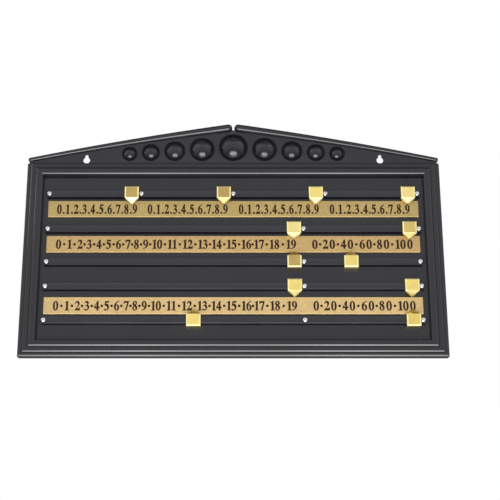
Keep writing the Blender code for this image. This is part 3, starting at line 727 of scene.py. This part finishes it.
def rail_section():
    """A T with a slightly crowned front, as depth and height from the rail's middle."""
    half = RAIL_WIDTH / 2
    edge = RAIL_DEPTH - RAIL_CROWN
    lip = RAIL_DEPTH - RAIL_LIP
    ball = (half ** 2 + RAIL_CROWN ** 2) / (2 * RAIL_CROWN)
    widest = math.asin((half - RAIL_EDGE) / ball)
    front = [(edge - RAIL_EDGE, half), (edge - RAIL_EDGE / 4, half - RAIL_EDGE / 4)]
    for step in range(CROWN_STEPS + 1):
        turn = widest * (1 - 2 * step / CROWN_STEPS)
        front.append((edge + RAIL_CROWN - ball + ball * math.cos(turn), ball * math.sin(turn)))
    front += [(edge - RAIL_EDGE / 4, RAIL_EDGE / 4 - half), (edge - RAIL_EDGE, -half)]
    return front + [(lip, -half), (lip, -RAIL_WEB / 2), (RAIL_FOOT, -RAIL_WEB / 2), (RAIL_FOOT, RAIL_WEB / 2),
                    (lip, RAIL_WEB / 2), (lip, half)]


def build_rails(material):
    for number, (height, _, _, _) in enumerate(RAILS, start=1):
        bm = bmesh.new()
        sections = []
        for across, shrink in ends(-RAIL_LENGTH / 2, RAIL_LENGTH / 2):
            section = []
            for depth, up in rail_section():
                squeezed = depth - shrink if depth > RAIL_DEPTH - RAIL_LIP / 2 else depth
                section.append(world_point(across, squeezed, height + up * (1 - shrink / RAIL_WIDTH * 2)))
            sections.append(section)
        add_loft(bm, sections)
        rail = new_piece(f"slide_rail_{number}", bm, material, "board",
                         sharp=14, wear_and_sheen_band=RAIL_WEAR_AND_SHEEN_BAND)
        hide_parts(f"rail_{number}")


def screw_head_mesh():
    """A pan head with a cross recess, its seat at the origin and its head towards local Z."""
    bm = bmesh.new()
    dome = SCREW_HEAD_HEIGHT - SCREW_HEAD_RIM
    profile = [(0, SCREW_HEAD_HEIGHT)]
    for step in range(1, HEAD_STEPS + 1):
        turn = math.pi / 2 * step / HEAD_STEPS
        profile.append((SCREW_HEAD_RADIUS * math.sin(turn), SCREW_HEAD_RIM + dome * math.cos(turn)))
    profile += [(SCREW_HEAD_RADIUS, 0), (SCREW_SHANK_RADIUS, 0),
                (SCREW_SHANK_RADIUS, SCREW_SHANK_RADIUS - SCREW_LENGTH), (0, -SCREW_LENGTH)]
    add_turned(bm, profile, HEAD_SIDES, Matrix())
    head = held("head", bm)
    arms = []
    for turn in (0, math.pi / 2):
        around = Matrix.Rotation(turn, 4, "Z")
        sections = []
        for z, long, wide in (RECESS_ABOVE, RECESS_FLOOR):
            corners = ((-long, -wide), (long, -wide), (long, wide), (-long, wide))
            sections.append([around @ Vector((x, y, z)) for x, y in corners])
        bm = bmesh.new()
        add_loft(bm, sections)
        arms.append(held("arm", bm))
    cut_away(head, arms)
    return baked(head, arms)


def build_screws(material):
    head = screw_head_mesh()
    for number, (height, stops, _, _) in enumerate(RAILS, start=1):
        for index, stop in enumerate(stops, start=1):
            bm = bmesh.new()
            bm.from_mesh(head)
            spin = Matrix.Rotation(SPIN_BY_RAIL * number + SPIN_BY_SCREW * index, 4, "Z")
            bm.transform(facing_front(stop, HEAD_FOOT, height) @ spin)
            screw = new_piece(f"stop_screw_{number}_{index}", bm, material, "board", sharp=30)
            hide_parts(f"screw_{number}_{index}")
    bpy.data.meshes.remove(head)


def house_outline(inset):
    """A clip's outline about its rail's middle, pointing up."""
    half = SLIDER_WIDTH / 2 - inset
    slope = (SLIDER_POINT - SLIDER_SHOULDER) / (SLIDER_WIDTH / 2)
    point = SLIDER_POINT - inset * math.sqrt(1 + slope ** 2)
    back = inset - SLIDER_BACK
    shoulder = point - slope * half
    return [(-half, back), (half, back), (half, shoulder), (0, point), (-half, shoulder)]


def slider_solid():
    """A pointed clip pointing up about its rail's middle, at depth along local -Y, made as the solids are."""
    foot = PANEL_DEPTH + SLIDER_FOOT
    front = PANEL_DEPTH + SLIDER_RISE
    bm = bmesh.new()
    add_loft(bm, [[Vector((x, -depth, z)) for x, z in house_outline(inset)] for inset, depth in
                  ((0, foot), (0, front - CHAMFER_DROP), (CHAMFER_WIDTH, front))])
    blank = held("blank", bm)
    point_foot = STRIP_DEPTH + SLIDER_POINT_FOOT
    point_front = point_foot + SLIDER_POINT_THICKNESS
    fall = (front - point_front) / (SLIDER_POINT - SLIDER_SHOULDER)
    beyond = SLIDER_POINT + CUT_BEYOND
    above = front + CUT_BEYOND
    behind = foot - CUT_BEYOND
    slope = [(front, SLIDER_SHOULDER), (point_front - fall * CUT_BEYOND, beyond), (above, beyond),
             (above, SLIDER_SHOULDER - CUT_BEYOND / fall)]
    under = [(behind, SLIDER_SHOULDER), (point_foot, SLIDER_SHOULDER), (point_foot, beyond), (behind, beyond)]
    half_channel = RAIL_WIDTH / 2 + SLIDE_CLEARANCE
    half_mouth = RAIL_WEB / 2 + SLIDE_CLEARANCE
    lip = RAIL_DEPTH - RAIL_LIP - SLIDE_CLEARANCE
    deep = RAIL_DEPTH + SLIDE_CLEARANCE
    channel = [(deep, -half_channel), (deep, half_channel), (lip, half_channel), (lip, half_mouth),
               (behind, half_mouth), (behind, -half_mouth), (lip, -half_mouth), (lip, -half_channel)]
    tools = []
    for name, section in (("slope", slope), ("under", under), ("channel", channel)):
        bm = bmesh.new()
        add_loft(bm, [[Vector((x, -depth, z)) for depth, z in section]
                      for x in (-SLIDER_WIDTH, SLIDER_WIDTH)])
        tools.append(held(name, bm))
    cut_away(blank, tools)
    soften = blank.modifiers.new("soften", "BEVEL")
    soften.width = SLIDER_SOFTENING
    soften.segments = 2
    soften.limit_method = "ANGLE"
    soften.angle_limit = math.radians(20)
    return baked(blank, tools)


def add_slider_loops(bm):
    """Cuts the clip's faces close beside their edges, so that the pale edge wear and painted edge highlight
    stay at the edges.
    """
    half = SLIDER_WIDTH / 2
    slope = (SLIDER_POINT - SLIDER_SHOULDER) / half
    steep = math.sqrt(1 + slope ** 2)
    front = PANEL_DEPTH + SLIDER_RISE
    for beside in LOOPS_BESIDE:
        inset = CHAMFER_WIDTH + beside
        tip = Vector((0, 0, SLIDER_POINT - inset * steep))
        cuts = [(Vector((0, 0, inset - SLIDER_BACK)), Vector((0, 0, 1))),
                (Vector((0, 0, SLIDER_SHOULDER - beside)), Vector((0, 0, 1))),
                (Vector((0, 0, SLIDER_SHOULDER + beside)), Vector((0, 0, 1))),
                (Vector((0, CHAMFER_DROP + beside - front, 0)), Vector((0, 1, 0)))]
        for side in (-1, 1):
            cuts.append((Vector((side * (half - inset), 0, 0)), Vector((1, 0, 0))))
            cuts.append((tip, Vector((side * slope, 0, 1))))
        for place, normal in cuts:
            parts = list(bm.verts) + list(bm.edges) + list(bm.faces)
            bmesh.ops.bisect_plane(bm, geom=parts, dist=CUT_REACH, plane_co=place, plane_no=normal)


def build_sliders(materials):
    solid = slider_solid()
    for number, (height, _, places, points) in enumerate(RAILS, start=1):
        for index, across in enumerate(places, start=1):
            bm = bmesh.new()
            bm.from_mesh(solid)
            add_slider_loops(bm)
            turn = Matrix.Rotation(math.pi if points == DOWN else 0, 4, "Y")
            bm.transform(Matrix.Translation(world_point(across, 0, height)) @ turn)
            face_gold, tip_gold = SLIDER_GOLDS[(number, index)]
            slider = new_piece(f"pointer_clip_{number}_{index}", bm, materials[face_gold],
                               f"pointer_{number}_{index}", sharp=18)
            slider.data.materials.append(materials["edge"])
            slider.data.materials.append(materials[tip_gold])
            # The chamfers take the edge gold as a painted highlight. The lower chamfers of sliders pointing
            # up and the facets facing down take the tip gold, as painted light on the tips and painted shade
            # on the lips.
            for face in slider.data.polygons:
                _, forward, upward = face.normal
                if FRONT_TURN < forward < CHAMFER_TURN:
                    is_lower = points == UP and upward < LOWER_TURN
                    face.material_index = TIP_GOLD if is_lower else EDGE_GOLD
                elif forward < POINT_TURN and upward < POINT_TURN:
                    face.material_index = TIP_GOLD
            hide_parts(f"slider_{number}_{index}")
    bpy.data.meshes.remove(solid)


def oval(across, height, half_width, half_height):
    points = []
    for step in range(OVAL_STEPS):
        turn = 2 * math.pi * step / OVAL_STEPS
        x = math.copysign(abs(math.cos(turn)) ** (2 / OVAL_SQUARENESS), math.cos(turn))
        y = math.copysign(abs(math.sin(turn)) ** (2 / OVAL_SQUARENESS), math.sin(turn))
        points.append((across + half_width * x, height + half_height * y))
    return points


# Each digit is one unit tall: its outline and then its holes, where a third value marks a corner
DIGITS = {
    "0": [oval(0.29, 0.49, 0.265, 0.505), oval(0.29, 0.49, 0.105, 0.452)],
    "1": [[(0.09, 0, 1), (0.51, 0, 1), (0.51, 0.034, 1), (0.445, 0.045), (0.395, 0.095),
           (0.39, 0.18, 1), (0.39, 1, 1), (0.355, 1, 1), (0.08, 0.868, 1), (0.09, 0.834, 1),
           (0.165, 0.862), (0.208, 0.835), (0.217, 0.76, 1), (0.217, 0.18, 1), (0.21, 0.095),
           (0.16, 0.045), (0.09, 0.034, 1)]],
    "2": [[(0.045, 0.72, 1), (0.10, 0.88), (0.27, 1.0), (0.455, 0.915), (0.51, 0.74), (0.44, 0.55),
           (0.31, 0.37), (0.155, 0.19, 1), (0.40, 0.19), (0.495, 0.205), (0.56, 0.30, 1),
           (0.59, 0.29, 1), (0.535, 0, 1), (0.02, 0, 1), (0.02, 0.03, 1), (0.20, 0.25), (0.32, 0.46),
           (0.355, 0.66), (0.31, 0.81), (0.215, 0.85), (0.12, 0.80), (0.075, 0.70, 1)]],
    "3": [[(0.06, 0.78, 1), (0.125, 0.92), (0.27, 1.0), (0.425, 0.93), (0.465, 0.785), (0.41, 0.66),
           (0.335, 0.60, 1), (0.455, 0.53), (0.525, 0.41), (0.515, 0.26), (0.42, 0.075), (0.22, -0.015),
           (0.06, 0.02), (0.02, 0.085), (0.065, 0.14), (0.145, 0.12), (0.225, 0.055), (0.31, 0.06),
           (0.375, 0.16), (0.375, 0.30), (0.315, 0.42), (0.20, 0.465), (0.14, 0.47, 1), (0.14, 0.50, 1),
           (0.25, 0.55), (0.315, 0.64), (0.32, 0.76), (0.27, 0.85), (0.19, 0.87), (0.13, 0.83),
           (0.085, 0.77, 1)]],
    "4": [[(0.355, 1, 1), (0.445, 1, 1), (0.445, 0.375, 1), (0.57, 0.375, 1), (0.57, 0.24, 1),
           (0.445, 0.24, 1), (0.445, 0, 1), (0.285, 0, 1), (0.285, 0.24, 1), (0.015, 0.24, 1),
           (0.015, 0.345, 1)],
         [(0.285, 0.79, 1), (0.285, 0.375, 1), (0.08, 0.375, 1)]],
    "5": [[(0.14, 0.985, 1), (0.53, 0.985, 1), (0.485, 0.845, 1), (0.185, 0.845, 1), (0.155, 0.72, 1),
           (0.35, 0.675), (0.495, 0.55), (0.525, 0.35), (0.44, 0.11), (0.25, -0.01), (0.07, 0.0),
           (0.015, 0.06), (0.045, 0.125), (0.13, 0.13), (0.215, 0.065), (0.30, 0.065), (0.37, 0.15),
           (0.372, 0.31), (0.29, 0.46), (0.16, 0.525), (0.065, 0.54, 1)]],
    "6": [[(0.53, 0.99, 1), (0.35, 0.93), (0.15, 0.79), (0.04, 0.55), (0.035, 0.29), (0.13, 0.06),
           (0.295, -0.015), (0.47, 0.07), (0.55, 0.29), (0.50, 0.51), (0.355, 0.615), (0.205, 0.56, 1),
           (0.25, 0.73), (0.36, 0.87), (0.53, 0.96, 1)],
         [(0.20, 0.50), (0.295, 0.555), (0.365, 0.47), (0.39, 0.27), (0.365, 0.09), (0.29, 0.025),
          (0.215, 0.10), (0.192, 0.29)]],
    "7": [[(0.06, 0.985, 1), (0.575, 0.985, 1), (0.575, 0.95, 1), (0.32, 0, 1), (0.20, 0, 1),
           (0.435, 0.83, 1), (0.18, 0.83), (0.105, 0.795), (0.055, 0.70, 1), (0.022, 0.71, 1)]],
    "8": [[(0.285, 1.0), (0.44, 0.94), (0.495, 0.79), (0.45, 0.65), (0.385, 0.575), (0.495, 0.44),
           (0.535, 0.25), (0.445, 0.06), (0.275, -0.015), (0.105, 0.055), (0.035, 0.235), (0.075, 0.39),
           (0.17, 0.485), (0.08, 0.61), (0.055, 0.77), (0.125, 0.935)],
         [(0.28, 0.952), (0.36, 0.88), (0.365, 0.74), (0.325, 0.62), (0.235, 0.69), (0.185, 0.80),
          (0.20, 0.90)],
         [(0.225, 0.445), (0.17, 0.35), (0.165, 0.18), (0.215, 0.06), (0.29, 0.028), (0.375, 0.09),
          (0.385, 0.21), (0.335, 0.34)]],
}
# A 9 is a 6 turned upside down
DIGITS["9"] = [[(DRAWN_WIDTH - x, DRAWN_HEIGHT - y, *corner) for x, y, *corner in loop]
               for loop in DIGITS["6"]]
DIGIT_WIDTHS = {digit: 0.60 for digit in DIGITS}
DIGIT_WIDTHS["1"] = 0.53


def add_loop(curve, loop):
    spline = curve.splines.new("BEZIER")
    spline.bezier_points.add(len(loop) - 1)
    spline.use_cyclic_u = True
    spline.resolution_u = 5
    for point, (x, y, *corner) in zip(spline.bezier_points, loop):
        point.co = (x, y, 0)
        kind = "VECTOR" if corner else "AUTO"
        point.handle_left_type = kind
        point.handle_right_type = kind


def add_number(curve, text, middle, foot, wide, tall, gap=0):
    """A number about its middle; gives its left and right edges."""
    widths = [DIGIT_WIDTHS[digit] * wide for digit in text]
    gaps = [0 if digit == "1" else gap for digit in text[:-1]] + [0]
    left = middle - (sum(widths) + sum(gaps)) / 2
    place = left
    for digit, width, after in zip(text, widths, gaps):
        start = place + (width - DRAWN_WIDTH * wide) / 2
        for loop in DIGITS[digit]:
            add_loop(curve, [(start + x * wide, foot + y * tall, *corner) for x, y, *corner in loop])
        place += width + after
    return left + SIDE_SPACE * wide, place - SIDE_SPACE * wide


def add_dot(curve, across, height, radius):
    turns = [math.pi / 2 * quarter for quarter in range(4)]
    add_loop(curve, [(across + radius * math.cos(turn), height + radius * math.sin(turn)) for turn in turns])


def add_units(curve):
    for start in UNIT_STARTS:
        first = start + UNIT_WIDE * DRAWN_MIDDLE
        for digit in range(10):
            add_number(curve, str(digit), first + digit * UNIT_PITCH, UNIT_FOOT, UNIT_WIDE, UNIT_TALL)
            if digit < 9:
                across = first + (digit + POINT_SHARE) * UNIT_PITCH
                add_dot(curve, across, UNIT_FOOT + POINT_RADIUS, POINT_RADIUS)


def add_row(curve, step, places, wide, gap=0):
    """Numbers that rise by a step from 0, with a dot between each two."""
    edges = [add_number(curve, str(step * count), middle, ROW_FOOT, wide, ROW_TALL, gap)
             for count, middle in enumerate(places)]
    for (_, end), (start, _) in zip(edges, edges[1:]):
        add_dot(curve, (end + start) / 2, ROW_FOOT + ROW_TALL * DOT_SHARE, DOT_RADIUS)


def build_numerals(material):
    for number, middle in enumerate(STRIP_HEIGHTS, start=1):
        curve = filled_curve((INK_PROUD + INK_SUNK) / 2, INK_SPREAD)
        if number == 1:
            add_units(curve)
        else:
            add_row(curve, 1, COUNTS, ROW_WIDE)
            add_row(curve, 20, TWENTIES, TWENTIES_WIDE, TWENTIES_GAP)
        bm = bmesh.new()
        add_curve(bm, curve, facing_front(0, STRIP_DEPTH + (INK_PROUD - INK_SUNK) / 2, middle))
        new_piece(f"numerals_{number}", bm, material, "board")


class Graph:
    """Adds and links the nodes of one node tree."""

    def __init__(self, tree):
        self.tree = tree

    def feed(self, source, socket):
        """Links another node's output to a socket, or sets a value on it."""
        if isinstance(source, bpy.types.NodeSocket):
            self.tree.links.new(source, socket)
        else:
            socket.default_value = source

    def add(self, kind, *sources, **settings):
        """A node with its settings, whose first sockets take the sources."""
        node = self.tree.nodes.new(kind)
        for key, value in settings.items():
            setattr(node, key, value)
        for source, socket in zip(sources, node.inputs):
            self.feed(source, socket)
        return node

    def calculate(self, operation, *sources):
        return self.add("ShaderNodeMath", *sources, operation=operation).outputs[0]

    def spread(self, source, low, high, start=0.3, end=0.7, **settings):
        """From low to high while the source goes from start to end."""
        return self.add("ShaderNodeMapRange", source, start, end, low, high, **settings).outputs["Result"]


class Surface(Graph):
    """A material's nodes, over the piece's own coordinates."""

    def __init__(self, name):
        self.material = bpy.data.materials.new(name)
        self.material.use_nodes = True
        super().__init__(self.material.node_tree)
        self.shader = self.tree.nodes["Principled BSDF"]
        self.place = self.add("ShaderNodeTexCoord").outputs["Object"]

    def dress(self, **sources):
        """Feeds the shader's sockets, named with underscores for spaces."""
        for name, source in sources.items():
            self.feed(source, self.shader.inputs[name.replace("_", " ")])
        return self.material

    def noise(self, scale, detail, roughness=0.55, stretch=None):
        place = self.place
        if stretch:
            mapping = self.add("ShaderNodeMapping", place)
            mapping.inputs["Scale"].default_value = stretch
            place = mapping.outputs["Vector"]
        noise = self.add("ShaderNodeTexNoise", place)
        for name, value in (("Scale", scale), ("Detail", detail), ("Roughness", roughness)):
            noise.inputs[name].default_value = value
        return noise.outputs["Fac"]

    def ramp(self, factor, *stops):
        ramp = self.add("ShaderNodeValToRGB", factor)
        for element, (place, colour) in zip(ramp.color_ramp.elements, stops):
            element.position = place
            element.color = (*colour, 1)
        return ramp.outputs["Color"]

    def mix(self, factor, first, second):
        mix = self.add("ShaderNodeMix", factor, data_type="RGBA")
        self.feed(first, mix.inputs[6])
        self.feed((*second, 1) if isinstance(second, tuple) else second, mix.inputs[7])
        return mix.outputs[2]

    def bump(self, height, distance, strength=1.0, under=None):
        bump = self.add("ShaderNodeBump")
        bump.inputs["Distance"].default_value = distance
        bump.inputs["Strength"].default_value = strength
        self.feed(height, bump.inputs["Height"])
        if under:
            self.feed(under, bump.inputs["Normal"])
        return bump.outputs["Normal"]

    def worn(self, start, end):
        """Pale edge wear and painted edge highlight, raised on convex edges, from how pointed the surface is.
        """
        return self.spread(self.add("ShaderNodeNewGeometry").outputs["Pointiness"], 0, 1, start, end)


def shade(tone, factor):
    return tuple(min(part * factor, 1) for part in tone)


def black_plastic(name, tone, rough, wave, shine=0.5):
    """Moulded plastic with slow waves, a fine grain and paler edges, partly wear and partly a painted edge
    highlight.
    """
    s = Surface(name)
    cloud = s.noise(9, 5)
    colour = s.ramp(cloud, (0.35, shade(tone, 0.82)), (0.65, shade(tone, 1.2)))
    # The paler edge colour: partly wear, partly a painted edge highlight
    edge = tuple(part * 2.4 + 0.004 for part in tone)
    slow = s.bump(s.noise(14, 2, stretch=(0.35, 1, 1)), wave)
    return s.dress(
        Base_Color=s.mix(s.worn(0.53, 0.62), colour, edge),
        Roughness=s.spread(cloud, rough - 0.03, rough + 0.05),
        Normal=s.bump(s.noise(900, 3), 0.00001, 0.35, slow), Specular_IOR_Level=shine, IOR=1.53)


def strip_brass(name, tone):
    """Brushed brass foil with a sandy grain, a little paler along its edges from wear and a painted edge
    highlight.
    """
    s = Surface(name)
    sand = s.noise(560, 5, roughness=0.75)
    cloud = s.noise(16, 3, stretch=(0.5, 1, 1))
    base = s.ramp(cloud, (0.3, shade(tone, 0.93)), (0.7, shade(tone, 1.07)))
    grain = s.ramp(sand, (0.36, shade(tone, 0.55)), (0.64, shade(tone, 1.5)))
    colour = s.mix(s.worn(0.52, 0.58), s.mix(0.5, base, grain), shade(tone, 1.5))
    brushed = s.noise(2400, 3, stretch=(0.05, 1, 1))
    return s.dress(Base_Color=colour, Metallic=0.6, Roughness=s.spread(brushed, 0.40, 0.55),
                   Normal=s.bump(sand, 0.00002, 0.5))


def slider_gold(name, tone, edge_wear_and_sheen_tone):
    """Brushed gold plating, pale at the edges from wear and a painted edge highlight."""
    s = Surface(name)
    brushed = s.noise(1500, 3, stretch=(1, 1, 0.06))
    colour = s.ramp(s.noise(60, 3), (0.3, shade(tone, 0.93)), (0.7, shade(tone, 1.06)))
    return s.dress(Base_Color=s.mix(s.worn(0.53, 0.60), colour, edge_wear_and_sheen_tone), Metallic=0.85,
                   Roughness=s.spread(brushed, 0.16, 0.30), Normal=s.bump(brushed, 0.000012, 0.4))


def screw_steel():
    s = Surface("screw_steel")
    turned = s.noise(1800, 3)
    colour = s.ramp(s.noise(250, 3), (0.3, (0.62, 0.63, 0.62)), (0.7, (0.80, 0.80, 0.78)))
    return s.dress(Base_Color=colour, Metallic=1.0, Roughness=s.spread(turned, 0.14, 0.28),
                   Normal=s.bump(turned, 0.00001, 0.4))


def numeral_ink():
    s = Surface("numeral_ink")
    cloud = s.noise(700, 3)
    colour = s.ramp(cloud, (0.3, (0.014, 0.006, 0.004)), (0.7, (0.032, 0.014, 0.008)))
    return s.dress(Base_Color=colour, Specular_IOR_Level=0.12, Roughness=s.spread(cloud, 0.50, 0.65),
                   Normal=s.bump(cloud, 0.000008, 0.4))


def build_world():
    """White to the camera; for light, brightest in front and to the sides, dimmer above and behind."""
    world = bpy.data.worlds.new("studio")
    bpy.context.scene.world = world
    world.use_nodes = True
    graph = Graph(world.node_tree)
    way = graph.add("ShaderNodeSeparateXYZ", graph.add("ShaderNodeTexCoord").outputs["Generated"]).outputs
    light = graph.spread(way["Y"], 0.90, 0.18, -0.35, 0.25)
    above = graph.spread(way["Z"], 1.0, 0.35, 0.66, 0.88)
    below = graph.spread(way["Z"], 0.70, 1.0, -0.12, 0.14)
    raised = graph.spread(way["Z"], 1.0, 1.3, 0.42, 0.62)
    sides = graph.spread(graph.calculate("ABSOLUTE", way["X"]), 1.0, 1.15, 0.25, 0.65)
    for part in (above, below, raised, sides):
        light = graph.calculate("MULTIPLY", light, part)
    from_camera = graph.add("ShaderNodeLightPath").outputs["Is Camera Ray"]
    seen = graph.add("ShaderNodeMix", from_camera, data_type="FLOAT")
    graph.feed(light, seen.inputs[2])
    graph.feed(1.0, seen.inputs[3])
    background = graph.tree.nodes["Background"]
    graph.feed((1, 1, 1, 1), background.inputs["Color"])
    graph.feed(seen.outputs[0], background.inputs["Strength"])


def shape_light(light):
    """Lets an area light fade out from its core to its rim and dip in a band down its middle."""
    light.use_nodes = True
    graph = Graph(light.node_tree)
    place = graph.add("ShaderNodeNewGeometry").outputs["Parametric"]
    flat = graph.add("ShaderNodeVectorMath", place, (1, 1, 0), operation="MULTIPLY").outputs["Vector"]
    away = graph.add("ShaderNodeVectorMath", flat, (0.5, 0.5, 0), operation="DISTANCE").outputs["Value"]
    fade = graph.spread(away, 1, 0, SOFT_CORE / 2, 0.5, interpolation_type="SMOOTHSTEP")
    across = graph.add("ShaderNodeSeparateXYZ", place).outputs["X"]
    aside = graph.calculate("ABSOLUTE", graph.calculate("SUBTRACT", across, 0.5))
    strength = graph.calculate("MULTIPLY", fade, graph.spread(aside, SOFT_DIP, 1, *DIP_SPAN))
    graph.feed(strength, graph.tree.nodes["Emission"].inputs["Strength"])


def add_light(name, place, aim, wide, tall, power):
    light = bpy.data.lights.new(name, "AREA")
    light.shape = "RECTANGLE"
    light.size = wide
    light.size_y = tall
    light.energy = power
    holder = linked(name, light)
    holder.location = place
    holder.rotation_euler = (Vector(aim) - Vector(place)).to_track_quat("-Z", "Y").to_euler()
    return light


def build_camera():
    camera_data = bpy.data.cameras.new("camera")
    camera_data.lens = CAMERA_LENS
    camera_data.sensor_width = CAMERA_SENSOR
    camera_data.shift_x = CAMERA_SHIFT
    camera = linked("camera", camera_data)
    camera.location = CAMERA_PLACE
    camera.rotation_euler = (math.radians(90 + CAMERA_TILT), 0, 0)
    bpy.context.scene.camera = camera


def build_floor():
    bm = bmesh.new()
    bmesh.ops.create_grid(bm, x_segments=8, y_segments=8, size=FLOOR_HALF)
    mesh = bpy.data.meshes.new("floor")
    bm.to_mesh(mesh)
    bm.free()
    floor = linked("floor", mesh)
    floor.location = FLOOR_PLACE
    s = Surface("pale_floor")
    colour = s.ramp(s.noise(3, 3), (0.3, (0.78, 0.78, 0.78)), (0.7, (0.84, 0.84, 0.84)))
    mesh.materials.append(s.dress(Base_Color=colour, Roughness=0.8))


def build_stage():
    bpy.context.scene.view_settings.view_transform = "Standard"
    build_camera()
    build_world()
    lights = [add_light(*light) for light in LIGHTS]
    shape_light(lights[0])
    build_floor()


def build():
    build_stage()
    black = black_plastic("black_plastic", (0.0068, 0.0066, 0.0102), rough=0.15, wave=0.00006)
    # A darker, duller copy of the black plastic, as painted shade in the dome rings
    groove = black_plastic("groove_painted_shade", (0.0062, 0.0060, 0.0088), rough=0.42, wave=0.00003, shine=0.14)
    build_moulding(black, groove)
    build_rails(black_plastic("rail_plastic", (0.0056, 0.0055, 0.0085), rough=0.20, wave=0.00003))
    build_screws(screw_steel())
    build_sliders({name: slider_gold(f"gold_{name}", tone, EDGE_WEAR_AND_SHEEN_LIP if name == "lip" else EDGE_WEAR_AND_SHEEN_GOLD)
                   for name, tone in GOLDS.items()})
    build_strips([strip_brass(f"brushed_strip_{number}", tone)
                  for number, tone in enumerate(STRIP_TONES, start=1)])
    build_numerals(numeral_ink())


build()
